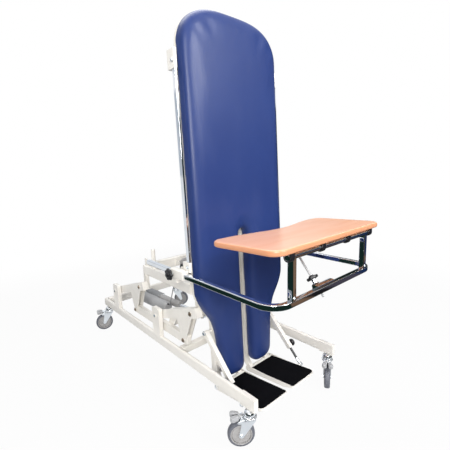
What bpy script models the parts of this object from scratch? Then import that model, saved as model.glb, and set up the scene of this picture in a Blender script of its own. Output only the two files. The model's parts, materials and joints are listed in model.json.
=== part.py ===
"""Tilt table with a lifting base, a tilting padded board, split footplates and a sliding wooden work tray.

Metres, +Z up, +X to the right as seen from in front and left of the foot end, +Y towards the rear.
The base, cranks and lifting frame are drawn from the foot end of the base rails, Y = 0, and everything hangs
on one empty, which at the end moves the table so that the middle of its footprint lies at the origin.
"""

import math

import bmesh
import bpy
from mathutils import Vector

# Running clearances
GAP = 0.0003
PIN_PLAY = 0.0005
SIDE_PLAY = 0.0015

# Base frame
BASE_LENGTH = 1.640
BASE_HALF_WIDTH = 0.330
RAIL_WIDTH = 0.025
RAIL_HEIGHT = 0.060
RAIL_TOP = 0.243
RAIL_EDGE = 0.007
END_BLOCK_LENGTH = 0.090
REAR_MEMBER_DEPTH = 0.028
MID_MEMBER_Y = 0.575
MID_MEMBER_DEPTH = 0.040
MID_MEMBER_HEIGHT = 0.040
POST_LENGTH = 0.080
POST_THICKNESS = 0.027
POST_TOP = 0.415
POST_CORNER = 0.014

# Lift linkage, seen from the side: post pivot, then the frame pin and the link pin measured from it
LIFT_PIVOT_Y = 0.825
LIFT_PIVOT_Z = 0.367
CRANK_SPACING = 0.580
FRAME_PIN_Y = -0.330
FRAME_PIN_Z = 0.108
LINK_PIN_Y = -0.250
LINK_PIN_Z = -0.075
CRANK_WIDTH = 0.041
CRANK_PLATE = 0.006
CRANK_DEPTH = 0.055
CRANK_NOSE = 0.050
CRANK_BOX_START = 0.150
CRANK_WEB_START = 0.108
CRANK_WEB = 0.005
GUSSET_FRONT = 0.356
GUSSET_REAR = 0.200
GUSSET_TIP_RADIUS = 0.017
PIVOT_PIN_RADIUS = 0.010
LINK_PIN_RADIUS = 0.007
WASHER_GAP = 0.005
LINK_BAR_HEIGHT = 0.055
LINK_BAR_OVERHANG = 0.026
TORSION_TUBE_RADIUS = 0.0145
TORSION_TUBE_Y = -0.060
TORSION_TUBE_Z = -0.061
LEVER_PIN_Y = -0.055
LEVER_PIN_Z = -0.095
LEVER_PLATE = 0.006
LEVER_HALF_GAP = 0.016

# Lifting frame
CRANK_SIDE_GAP = 0.003
LIFT_RAIL_WIDTH = 0.030
LIFT_RAIL_HEIGHT = 0.060
LIFT_RAIL_BOTTOM = 0.553
LIFT_RAIL_FRONT = 0.550
LIFT_RAIL_REAR = 1.090
LEG_WIDTH = 0.025
REAR_BEAM_DEPTH = 0.040
REAR_BEAM_BOTTOM = 0.560
REAR_BEAM_TOP = 0.627
REST_POST_RADIUS = 0.013
REST_POST_Y = 0.965
REST_POST_TOP = 0.745
FRONT_BEAM_SIZE = 0.040
FRONT_BEAM_Y = 0.510
FRONT_BEAM_TOP = 0.7075
STOP_PLATE_TOP = 0.660

# Board hinge and the lean of the board in the photographed position
HINGE_Y = 0.500
HINGE_Z = 0.735
BOARD_LEAN = math.radians(2.283)
HINGE_TUBE_RADIUS = 0.0125
BEARING_X = 0.315
BEARING_WIDTH = 0.030
BEARING_RADIUS = 0.026
BEARING_FOOT = 0.008

# Board, pad and accessory rails: heights from the hinge, depths behind the pad's face
PAD_FACE = -0.1426
PAD_THICKNESS = 0.075
PAD_EDGE = 0.038
PAD_CROWN = 0.003
PAD_FACE_INSET = 0.044
PAD_DRAW = 0.002
PAD_HALF_WIDTH = 0.325
PAD_TOP = 1.250
PAD_ARCH_HEIGHT = 0.260
PAD_ARCH_WIDE = 2.6
PAD_ARCH_TALL = 2.2
PAD_BOTTOM = -0.613
PAD_LEG_HALF_WIDTH = 0.170
PAD_LEG_CORNER = 0.068
SLOT_HALF_WIDTH = 0.035
SLOT_TOP = 0.176
SLOT_CORNER = 0.046
PLY_THICKNESS = 0.012
PLY_MARGIN = 0.001
FRAME_TUBE_WIDTH = 0.025
FRAME_SIDE_X = 0.268
FRAME_LEG_X = 0.1825
FRAME_INNER_X = 0.0475
FRAME_TOP = 1.120
FRAME_MID = 0.620
FRAME_LOW = 0.215
FRAME_SIDE_BOTTOM = -0.090
FRAME_LEG_BOTTOM = -0.640
ACCESSORY_RAIL_X = 0.345
ACCESSORY_RAIL_THICKNESS = 0.010
ACCESSORY_RAIL_WIDTH = 0.025
ACCESSORY_RAIL_Y = -0.0856
ACCESSORY_RAIL_BOTTOM = 0.050
ACCESSORY_RAIL_TOP = 0.957
RAIL_BRACKET_LENGTH = 0.050
RAIL_BRACKET_TOP_LENGTH = 0.086
RAIL_BRACKET_WALL = 0.004

# Footplates: hinge from the board hinge, in the board's own directions
FOOT_HINGE_Y = -0.0828
FOOT_HINGE_Z = -0.6839
FOOT_SLOPE = math.radians(5.317)
FOOT_INNER = 0.022
FOOT_OUTER = 0.222
FOOT_HEEL = 0.019
FOOT_TOE = 0.338
FOOT_TOP = 0.006
FOOT_SKIRT = 0.022
FOOT_LIP = 0.010
FOOT_TAPER = 0.060
FOOT_INNER_CORNER = 0.014
FOOT_OUTER_CORNER = 0.030
FOOT_EAR_REACH = 0.190
FOOT_SHEET = 0.003
FOOT_EAR_RADIUS = 0.017
FOOT_SHAFT_RADIUS = 0.008
MAT_THICKNESS = 0.003
MAT_MARGIN = 0.005
HEEL_LIP_HEIGHT = 0.010

# Footplate struts: upper pivot on the board, lower pin on the footplate
STRUT_X = 0.240
STRUT_TOP_Y = -0.0452
STRUT_TOP_Z = -0.3721
STRUT_FOOT_REACH = 0.2243
STRUT_FOOT_RISE = 0.0023
STRUT_TUBE_SIZE = 0.025
STRUT_TUBE_LENGTH = 0.285
STRUT_ROD_RADIUS = 0.007
STRUT_PIN_RADIUS = 0.005
STRUT_BOSS_RADIUS = 0.0092
STRUT_EYE_RADIUS = 0.0125
STRUT_PIN_PLAY = 0.0025
STRUT_KNOB_RADIUS = 0.021
STRUT_KNOB_AT = 0.262

# Workstation bar, posts and sockets
BAR_HALF_WIDTH = 0.389
BAR_SIZE = 0.025
BAR_EDGE = 0.005
BAR_TOP = 0.740
BAR_REAR = 0.770
BAR_FRONT = -0.170
BAR_CORNER = 0.080
SOCKET_FRONT = 0.409
SOCKET_REAR = 0.515
SOCKET_WIDTH = 0.038
SOCKET_HEIGHT = 0.045
SOCKET_EDGE = 0.004
BAR_PLAY = 0.0006
SOCKET_KNOB_Y = 0.492
SOCKET_KNOB_STAND = 0.012
UPRIGHT_X = 0.280
UPRIGHT_WIDTH = 0.025
UPRIGHT_DEPTH = 0.027
TRAY_TUBE_Z = 0.917
TRAY_TUBE_RADIUS = 0.0125
TRAY_TUBE_HALF = 0.318

# Star knobs
STAR_RADIUS = 0.0315
STAR_LOBES = 7
STAR_LOBE_DEPTH = 0.005
STAR_THICKNESS = 0.018
STAR_HUB_RADIUS = 0.014
STAR_HUB_HEIGHT = 0.008
STAR_STEM_RADIUS = 0.005

# Tray: drawn flat about the tube it turns on, then tipped
TRAY_TIP = math.radians(2.5)
TRAY_HALF_WIDTH = 0.400
TRAY_FRONT_REACH = 0.025
TRAY_HORN_REACH = 0.345
TRAY_MIDDLE_REACH = 0.293
TRAY_HORN_X = 0.318
TRAY_THICKNESS = 0.025
TRAY_EDGE = 0.0085
TRAY_TOP_RISE = 0.041
TRAY_FRONT_CORNER = 0.055
TRAY_REAR_CORNER = 0.050
CLIP_WIDTH = 0.022
CLIP_WALL = 0.006
CLIP_OUTER_X = 0.306
CLIP_INNER_X = 0.100

# Tray prop: a rod pinned under the tray that slides through a swivelling clamp on the front bar
PROP_X = -0.050
PROP_PIN_REACH = 0.200
PROP_PIN_RISE = 0.004
PROP_ROD_RADIUS = 0.005
PROP_ROD_LENGTH = 0.295
PROP_EYE_RADIUS = 0.009
PROP_PIN_RADIUS = 0.004
CLAMP_Y = -0.118
CLAMP_Z = 0.728
CLAMP_RADIUS = 0.013
CLAMP_BLOCK_LEFT = -0.115
CLAMP_BLOCK_RIGHT = 0.010
CLAMP_BLOCK_WALL = 0.006
CLAMP_COLLAR = 0.030
PROP_PLAY = 0.0009

# Castors
CASTOR_INSET = 0.040
WHEEL_RADIUS = 0.0625
WHEEL_WIDTH = 0.030
HUB_WIDTH = 0.034
TREAD_DEPTH = 0.012
TREAD_CORNER = 0.009
CASTOR_TRAIL = 0.042
AXLE_RADIUS = 0.005
FORK_SHEET = 0.0035
FORK_CROWN_BOTTOM = 0.1300
FORK_CROWN_TOP = 0.1400
SWIVEL_HEAD_RADIUS = 0.022
SWIVEL_RACE_RADIUS = 0.027
PEDAL_PIVOT_X = 0.038
PEDAL_PIVOT_Z = 0.148
PEDAL_TIP_X = 0.0915
PEDAL_TAB_THICKNESS = 0.010
PEDAL_HALF_WIDTH = 0.030
PEDAL_THICKNESS = 0.022

# Lift actuator: from its rear pin to the lever on the torsion tube
LIFT_PIN_INSET = 0.090
LIFT_ACTUATOR_Z = 0.235
ACTUATOR_EYE_RADIUS = 0.014
ACTUATOR_PIN_RADIUS = 0.006
LIFT_BODY_END = 0.500
LIFT_TUBE_RADIUS = 0.026
LIFT_ROD_RADIUS = 0.014
LIFT_ROD_PLAY = 0.0050
LIFT_ROD_OVERLAP = 0.120
LIFT_ROD_BORE = 0.240
HOUSING_START = 0.050
HOUSING_END = 0.235
HOUSING_HALF_HEIGHT = 0.052
HOUSING_HALF_WIDTH = 0.034
MOTOR_X = -0.062
MOTOR_RADIUS = 0.040
MOTOR_START = 0.060
MOTOR_END = 0.430

# Tilt actuator: from a pin on the rear beam to a lever on the board's hinge tube
TILT_ACTUATOR_Y = 1.015
TILT_ACTUATOR_Z = 0.590
TILT_LEVER_LENGTH = 0.080
TILT_BODY_END = 0.330
TILT_TUBE_RADIUS = 0.021
TILT_ROD_RADIUS = 0.010
TILT_ROD_PLAY = 0.0095
TILT_ROD_OVERLAP = 0.060
TILT_ROD_BORE = 0.190
TILT_MOTOR_RADIUS = 0.034
TILT_MOTOR_AT = 0.255
TILT_MOTOR_DROP = 0.170

# Actuator cable, held at the lift motor and at the tilt actuator
CABLE_RADIUS = 0.0032

# Faceting
ROUND_FINE = 20
ROUND_PLAIN = 10
ROUND_SMALL = 8
WHEEL_SIDES = 20
ARC_STEPS = 4
EDGE_STEPS = 1

SIDES = (("left", -1), ("right", 1))

# Values that follow from the ones above
RAIL_BOTTOM = RAIL_TOP - RAIL_HEIGHT
CASTOR_X = BASE_HALF_WIDTH - RAIL_WIDTH / 2
CASTOR_FRONT_Y = CASTOR_INSET
CASTOR_REAR_Y = BASE_LENGTH - CASTOR_INSET
LIFT_ACTUATOR_Y = BASE_LENGTH - LIFT_PIN_INSET
POST_INNER = BASE_HALF_WIDTH - POST_THICKNESS
CRANK_OUTER = POST_INNER - WASHER_GAP
CRANK_INNER = CRANK_OUTER - CRANK_WIDTH
FRAME_PIN_LENGTH = math.hypot(FRAME_PIN_Y, FRAME_PIN_Z)
CRANK_ANGLE = math.atan2(FRAME_PIN_Z, -FRAME_PIN_Y)
LIFT_RAIL_OUTER = CRANK_INNER - CRANK_SIDE_GAP
LIFT_RAIL_INNER = LIFT_RAIL_OUTER - LIFT_RAIL_WIDTH
LEG_INNER = LIFT_RAIL_OUTER - LEG_WIDTH
FRAME_PIN_AT_Y = LIFT_PIVOT_Y + FRAME_PIN_Y
FRAME_PIN_AT_Z = LIFT_PIVOT_Z + FRAME_PIN_Z
PAD_BACK = PAD_FACE + PAD_THICKNESS
PLY_FRONT = PAD_BACK + GAP
PLY_BACK = PLY_FRONT + PLY_THICKNESS
TUBE_FRONT = PLY_BACK + GAP
TUBE_BACK = -HINGE_TUBE_RADIUS - GAP
BAR_CENTRE_X = BAR_HALF_WIDTH - BAR_SIZE / 2
BAR_CENTRE_Z = BAR_TOP - BAR_SIZE / 2
TRAY_TUBE_Y = BAR_FRONT + 0.2 * BAR_SIZE


def clear_scene():
    for old in list(bpy.data.objects):
        bpy.data.objects.remove(old, do_unlink=True)


# Materials

def material(name, colour, roughness, metallic=0.0):
    made = bpy.data.materials.new(name)
    made.use_nodes = True
    shader = made.node_tree.nodes["Principled BSDF"]
    shader.inputs["Base Color"].default_value = (*colour, 1.0)
    shader.inputs["Roughness"].default_value = roughness
    shader.inputs["Metallic"].default_value = metallic
    made.diffuse_color = (*colour, 1.0)
    return made


def make_materials():
    return {
        "cream": material("cream_paint", (0.78, 0.74, 0.68), 0.38),
        "chrome": material("chrome", (0.75, 0.76, 0.78), 0.08, 1.0),
        "zinc": material("zinc_plate", (0.66, 0.70, 0.74), 0.35, 1.0),
        "navy": material("navy_vinyl", (0.020, 0.030, 0.105), 0.42),
        "panel": material("panel_laminate", (0.76, 0.72, 0.66), 0.45),
        "beech": material("beech", (0.86, 0.58, 0.36), 0.35),
        "rubber": material("black_rubber", (0.006, 0.006, 0.008), 0.75),
        "black": material("black_plastic", (0.012, 0.012, 0.014), 0.45),
        "grey": material("grey_plastic", (0.33, 0.33, 0.34), 0.5),
        "tread": material("grey_tread", (0.11, 0.12, 0.15), 0.65),
        "housing": material("actuator_grey", (0.22, 0.22, 0.24), 0.5),
        "cable": material("cable_grey", (0.20, 0.20, 0.21), 0.55),
    }


# Outlines, as lists of two numbers

def arc(centre, radius, start, end, steps=ARC_STEPS):
    """Points on a circle from one angle to another, both ends included, in degrees."""
    points = []
    for i in range(steps + 1):
        turn = math.radians(start + (end - start) * i / steps)
        points.append((centre[0] + radius * math.cos(turn), centre[1] + radius * math.sin(turn)))
    return points


def rounded_rectangle(low, high, radius, steps=EDGE_STEPS):
    (left, bottom), (right, top) = low, high
    if radius <= 0:
        return [(left, bottom), (right, bottom), (right, top), (left, top)]
    outline = arc((left + radius, bottom + radius), radius, 180, 270, steps)
    outline += arc((right - radius, bottom + radius), radius, 270, 360, steps)
    outline += arc((right - radius, top - radius), radius, 0, 90, steps)
    outline += arc((left + radius, top - radius), radius, 90, 180, steps)
    return outline


def circle(centre, radius, sides=ROUND_PLAIN):
    return arc(centre, radius, 0, 360, sides)[:-1]


def flats_down(sides):
    """A ring round a unit circle whose lowest edge is level, so that a wheel stands on it."""
    reach = 1 / math.cos(math.pi / sides)
    turn = 360 / sides
    return arc((0, 0), reach, -90 - turn / 2, 270 - turn / 2, sides)[:-1]


def hull_of_circles(circles, sides=ROUND_PLAIN):
    """The outline of a plate stretched round several bosses, each (centre, radius)."""
    points = sorted({point for centre, radius in circles for point in circle(centre, radius, sides)})
    chains = []
    for run in (points, points[::-1]):
        chain = []
        for point in run:
            while len(chain) > 1 and turn_of(chain[-2], chain[-1], point) <= 0:
                chain.pop()
            chain.append(point)
        chains.append(chain[:-1])
    return chains[0] + chains[1]


def turn_of(a, b, c):
    return (b[0] - a[0]) * (c[1] - a[1]) - (b[1] - a[1]) * (c[0] - a[0])


def along(start, direction, distance, offset=0.0):
    """A point at a distance along a direction and an offset to its left."""
    return (
        start[0] + direction[0] * distance - direction[1] * offset,
        start[1] + direction[1] * distance + direction[0] * offset,
    )


def inset(outline, distance):
    """An anticlockwise outline moved inwards."""
    count = len(outline)
    moved = []
    for i, point in enumerate(outline):
        before = Vector(outline[i - 1])
        here = Vector(point)
        after = Vector(outline[(i + 1) % count])
        edge_in = (here - before).normalized()
        edge_out = (after - here).normalized()
        normal = Vector((-edge_in.y - edge_out.y, edge_in.x + edge_out.x)).normalized()
        stretch = max(0.5, normal.dot(Vector((-edge_in.y, edge_in.x))))
        moved.append(tuple(here + normal * (distance / stretch)))
    return moved


def smooth_through(points, steps):
    """A smooth curve through control points of any dimension, ends included."""
    padded = [points[0]] + list(points) + [points[-1]]
    curve = []
    for i in range(1, len(padded) - 2):
        p0, p1, p2, p3 = (Vector(p) for p in padded[i - 1 : i + 3])
        for k in range(steps):
            t = k / steps
            bend = 2 * p0 - 5 * p1 + 4 * p2 - p3
            twist = 3 * p1 - p0 - 3 * p2 + p3
            curve.append(tuple(0.5 * (2 * p1 + (p2 - p0) * t + bend * t**2 + twist * t**3)))
    curve.append(tuple(Vector(points[-1])))
    return curve


# Solids, as bmesh

PLANES = {
    "X": lambda a, b, depth: (depth, a, b),
    "Y": lambda a, b, depth: (a, depth, b),
    "Z": lambda a, b, depth: (a, b, depth),
}


def closed(mesh):
    bmesh.ops.recalc_face_normals(mesh, faces=mesh.faces)
    return mesh


def loft(rings, capped=True):
    """A solid through rings of points with as many points each."""
    mesh = bmesh.new()
    rows = [[mesh.verts.new(point) for point in ring] for ring in rings]
    count = len(rows[0])
    pairs = list(zip(rows, rows[1:]))
    if not capped:
        pairs.append((rows[-1], rows[0]))
    for lower, upper in pairs:
        for i in range(count):
            j = (i + 1) % count
            mesh.faces.new((lower[i], lower[j], upper[j], upper[i]))
    if capped:
        mesh.faces.new(rows[0])
        mesh.faces.new(rows[-1])
    return closed(mesh)


def prism(axis, outline, low, high):
    """An outline across an axis, extruded along it. X takes (y, z), Y takes (x, z), Z takes (x, y)."""
    place = PLANES[axis]
    return loft([[place(a, b, depth) for a, b in outline] for depth in (low, high)])


def box(low, high, edge=0.0, axis="Y"):
    """A box whose four edges along an axis are rounded."""
    rest = [i for i in range(3) if i != "XYZ".index(axis)]
    outline = rounded_rectangle(
        (low[rest[0]], low[rest[1]]), (high[rest[0]], high[rest[1]]), edge
    )
    depth = "XYZ".index(axis)
    return prism(axis, outline, low[depth], high[depth])


def mirrored_box(side, near, far, low, high, edge=0.0, axis="Y"):
    """A box between two distances from the middle plane, on one side; low and high are (y, z)."""
    left, right = sorted((side * near, side * far))
    return box((left, low[0], low[1]), (right, high[0], high[1]), edge, axis)


def bar(start, end, radius, sides=ROUND_PLAIN, end_radius=None):
    """A round bar or cone from one point to another."""
    start = Vector(start)
    end = Vector(end)
    direction = (end - start).normalized()
    across = direction.orthogonal().normalized()
    beside = direction.cross(across)
    rings = []
    for centre, size in ((start, radius), (end, radius if end_radius is None else end_radius)):
        rings.append(
            [tuple(centre + size * (across * a + beside * b)) for a, b in circle((0, 0), 1, sides)]
        )
    return loft(rings)


def bore(start, end, radius, play, sides=ROUND_PLAIN):
    """A cutter whose flats, not its corners, clear a pin of the given radius by the play."""
    return bar(start, end, (radius + play) / math.cos(math.pi / sides), sides)


def turned(start, direction, profile, sides=ROUND_FINE):
    """A solid of revolution: profile is (distance along, radius), from one flat end to the other."""
    start = Vector(start)
    direction = Vector(direction).normalized()
    across = direction.orthogonal().normalized()
    beside = direction.cross(across)
    rings = []
    for distance, radius in profile:
        centre = start + direction * distance
        rings.append(
            [tuple(centre + radius * (across * a + beside * b)) for a, b in circle((0, 0), 1, sides)]
        )
    return loft(rings)


def swept_level(path, section):
    """A section (outwards, up) carried along a level path, with flat ends."""
    rings = []
    for i, point in enumerate(path):
        before = Vector(path[max(i - 1, 0)])
        after = Vector(path[min(i + 1, len(path) - 1)])
        ahead = (after - before).normalized()
        side = Vector((ahead.y, -ahead.x, 0))
        rings.append([tuple(Vector(point) + side * a + Vector((0, 0, b))) for a, b in section])
    return loft(rings)


# Objects

def new_object(name, mesh, holder):
    data = bpy.data.meshes.new(name)
    mesh.to_mesh(data)
    mesh.free()
    made = bpy.data.objects.new(name, data)
    bpy.context.scene.collection.objects.link(made)
    made.parent = holder
    return made


def piece(name, look, holder, joined, cuts=(), smooth=True):
    """One solid: the first mesh, joined with the others, less the cuts."""
    made = new_object(name, joined[0], holder)
    tools = []
    for operation, meshes in (("UNION", joined[1:]), ("DIFFERENCE", cuts)):
        for mesh in meshes:
            tool = new_object(name + "_tool", mesh, holder)
            tool.hide_render = True
            tool.display_type = "WIRE"
            step = made.modifiers.new(operation.title(), "BOOLEAN")
            step.operation = operation
            step.object = tool
            tools.append(tool)
    if tools:
        bpy.context.view_layer.update()
        graph = bpy.context.evaluated_depsgraph_get()
        finished = bpy.data.meshes.new_from_object(made.evaluated_get(graph))
        made.modifiers.clear()
        made.data = finished
        for tool in tools:
            bpy.data.objects.remove(tool, do_unlink=True)
    made.data.materials.clear()
    made.data.materials.append(look)
    made.data.name = name
    if smooth:
        made.data.shade_smooth()
        made.data.set_sharp_from_angle(angle=math.radians(35))
    return made


def pivot(name, holder, place, turn_x=0.0, turn_z=0.0):
    """An empty on a joint's axis."""
    made = bpy.data.objects.new(name, None)
    made.empty_display_size = 0.05
    bpy.context.scene.collection.objects.link(made)
    made.parent = holder
    made.location = place
    made.rotation_euler = (turn_x, 0, turn_z)
    return made


# Base

def base_rail(side, name, look, root):
    outer = BASE_HALF_WIDTH
    inner = outer - RAIL_WIDTH
    rail = mirrored_box(
        side, inner, outer, (0.5 * END_BLOCK_LENGTH, RAIL_BOTTOM), (BASE_LENGTH, RAIL_TOP), RAIL_EDGE
    )
    end_block = mirrored_box(side, inner, outer, (0, RAIL_BOTTOM), (END_BLOCK_LENGTH, RAIL_TOP), 0.001)
    joined = [rail, end_block]
    cuts = []
    for y in (LIFT_PIVOT_Y, LIFT_PIVOT_Y + CRANK_SPACING):
        outline = [
            (y - POST_LENGTH / 2, RAIL_TOP - 0.5 * RAIL_HEIGHT),
            (y + POST_LENGTH / 2, RAIL_TOP - 0.5 * RAIL_HEIGHT),
        ]
        outline += arc((y + POST_LENGTH / 2 - POST_CORNER, POST_TOP - POST_CORNER), POST_CORNER, 0, 90, 4)
        outline += arc((y - POST_LENGTH / 2 + POST_CORNER, POST_TOP - POST_CORNER), POST_CORNER, 90, 180, 4)
        joined.append(prism("X", outline, side * POST_INNER, side * (outer - GAP)))
        hole = (side * (POST_INNER - 0.01), y, LIFT_PIVOT_Z)
        cuts.append(bore(hole, (side * (outer + 0.01), y, LIFT_PIVOT_Z), PIVOT_PIN_RADIUS, PIN_PLAY))
    return piece(name, look, root, joined, cuts)


def rear_member(look, root):
    half = BASE_HALF_WIDTH - RAIL_WIDTH - GAP
    front = BASE_LENGTH - REAR_MEMBER_DEPTH
    beam = box((-half, front, RAIL_BOTTOM), (half, BASE_LENGTH - GAP, RAIL_TOP), 0.004, "X")
    ears = []
    reach = LIFT_ACTUATOR_Y
    for side in (-1, 1):
        near, far = side * (ACTUATOR_EYE_RADIUS + SIDE_PLAY), side * (
            ACTUATOR_EYE_RADIUS + SIDE_PLAY + LEVER_PLATE
        )
        outline = hull_of_circles(
            [
                ((reach, LIFT_ACTUATOR_Z), 0.016),
                ((front + 0.010, LIFT_ACTUATOR_Z - 0.014), 0.004),
                ((front + 0.010, RAIL_TOP - 0.010), 0.004),
            ]
        )
        ears.append(prism("X", outline, near, far))
    half_pin = ACTUATOR_EYE_RADIUS + SIDE_PLAY + LEVER_PLATE + 0.004
    pin = bar(
        (-half_pin, reach, LIFT_ACTUATOR_Z),
        (half_pin, reach, LIFT_ACTUATOR_Z),
        ACTUATOR_PIN_RADIUS,
        ROUND_PLAIN,
    )
    return piece("base_rear_member", look, root, [beam, *ears, pin])


def mid_member(look, root):
    half = BASE_HALF_WIDTH - RAIL_WIDTH - GAP
    low = (-half, MID_MEMBER_Y, RAIL_TOP - MID_MEMBER_HEIGHT)
    high = (half, MID_MEMBER_Y + MID_MEMBER_DEPTH, RAIL_TOP)
    return piece("base_mid_member", look, root, [box(low, high, 0.004, "X")])


def make_base(looks, root):
    for name, side in SIDES:
        base_rail(side, "base_rail_" + name, looks["cream"], root)
    rear_member(looks["cream"], root)
    mid_member(looks["cream"], root)


# Castors, each drawn with its wheel trailing along +X and its swivel axis at the origin

def castor_fork(name, look, holder):
    half_gap = HUB_WIDTH / 2 + 0.001
    outer = half_gap + FORK_SHEET
    legs = []
    for side in (-1, 1):
        leg = hull_of_circles(
            [
                ((CASTOR_TRAIL, WHEEL_RADIUS), 0.011),
                ((-0.016, FORK_CROWN_TOP - 0.006), 0.005),
                ((0.022, FORK_CROWN_TOP - 0.006), 0.005),
            ]
        )
        legs.append(prism("Y", leg, side * half_gap, side * outer))
    crown_outline = rounded_rectangle((-0.026, -outer), (0.046, outer), 0.010)
    crown = prism("Z", crown_outline, FORK_CROWN_BOTTOM, FORK_CROWN_TOP)
    axle = bar(
        (CASTOR_TRAIL, -outer - 0.004, WHEEL_RADIUS),
        (CASTOR_TRAIL, outer + 0.004, WHEEL_RADIUS),
        AXLE_RADIUS,
        ROUND_SMALL,
    )
    profile = [
        (0, SWIVEL_RACE_RADIUS - 0.002),
        (0.003, SWIVEL_RACE_RADIUS),
        (0.012, SWIVEL_RACE_RADIUS),
        (0.018, SWIVEL_HEAD_RADIUS),
        (0.034, SWIVEL_HEAD_RADIUS - 0.002),
        (0.038, 0.014),
        (RAIL_BOTTOM - GAP - FORK_CROWN_TOP + 0.002, 0.011),
    ]
    head = turned((0, 0, FORK_CROWN_TOP - 0.002), (0, 0, 1), profile, ROUND_PLAIN)
    ears = []
    for side in (-1, 1):
        ear = hull_of_circles(
            [
                ((PEDAL_PIVOT_X, PEDAL_PIVOT_Z), 0.006),
                ((PEDAL_PIVOT_X - 0.006, FORK_CROWN_TOP - 0.004), 0.003),
                ((PEDAL_PIVOT_X + 0.006, FORK_CROWN_TOP - 0.004), 0.003),
            ],
            ROUND_SMALL,
        )
        ears.append(prism("Y", ear, side * 0.0155, side * 0.0185))
    rod = bar(
        (PEDAL_PIVOT_X, -0.017, PEDAL_PIVOT_Z), (PEDAL_PIVOT_X, 0.017, PEDAL_PIVOT_Z), 0.003, ROUND_SMALL
    )
    return piece(name, look, holder, [crown, *legs, axle, head, *ears, rod])


def castor_wheel(name, look, holder):
    """Hub and bonded tread, about its axle."""
    half_tread = WHEEL_WIDTH / 2
    half_hub = HUB_WIDTH / 2
    hub_radius = WHEEL_RADIUS - TREAD_DEPTH
    profile = [
        (-half_hub, AXLE_RADIUS + PIN_PLAY),
        (-half_hub, 0.014),
        (-half_tread + 0.004, 0.018),
        (-half_tread, hub_radius),
        (-half_tread, WHEEL_RADIUS - TREAD_CORNER),
        (-half_tread + TREAD_CORNER, WHEEL_RADIUS),
    ]
    profile += [(-distance, radius) for distance, radius in reversed(profile)]
    rings = []
    for distance, radius in profile:
        rings.append([(radius * a, distance, radius * b) for a, b in flats_down(WHEEL_SIDES)])
    return piece(name, look, holder, [loft(rings, capped=False)])


def brake_pedal(name, look, holder):
    """Two-lobed pedal about its pivot, which is the origin."""
    reach = PEDAL_TIP_X - PEDAL_PIVOT_X
    half = PEDAL_HALF_WIDTH
    half_tab = PEDAL_TAB_THICKNESS / 2
    tab = box((-0.006, -0.012, -half_tab), (0.022, 0.012, half_tab), 0.9 * half_tab, "Y")
    outline = [(0.014, -half * 0.55), (0.030, -half)]
    outline += arc((reach - 0.012, -half + 0.012), 0.012, -90, 40, 4)
    outline += [(reach - 0.014, 0)]
    outline += arc((reach - 0.012, half - 0.012), 0.012, -40, 90, 4)
    outline += [(0.030, half), (0.014, half * 0.55)]
    lobes = prism("Z", outline, -0.5 * PEDAL_THICKNESS, 0.5 * PEDAL_THICKNESS)
    hole = bore((0, -0.05, 0), (0, 0.05, 0), 0.003, PIN_PLAY, ROUND_SMALL)
    return piece(name, look, holder, [lobes, tab], [hole])


CASTORS = (
    ("front_left", -1, CASTOR_FRONT_Y, 143),
    ("front_right", 1, CASTOR_FRONT_Y, 213),
    ("rear_left", -1, CASTOR_REAR_Y, 164),
    ("rear_right", 1, CASTOR_REAR_Y, -43),
)


def make_castors(looks, root):
    for name, side, y, heading in CASTORS:
        swivel = pivot("swivel_" + name, root, (side * CASTOR_X, y, 0), turn_z=math.radians(heading))
        castor_fork("castor_fork_" + name, looks["zinc"], swivel)
        axle = pivot("axle_" + name, swivel, (CASTOR_TRAIL, 0, WHEEL_RADIUS))
        castor_wheel("castor_wheel_" + name, looks["tread"], axle)
        tread = pivot("pedal_pivot_" + name, swivel, (PEDAL_PIVOT_X, 0, PEDAL_PIVOT_Z))
        brake_pedal("brake_pedal_" + name, looks["grey"], tread)


# Lift linkage, each crank drawn about its post pivot

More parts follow.
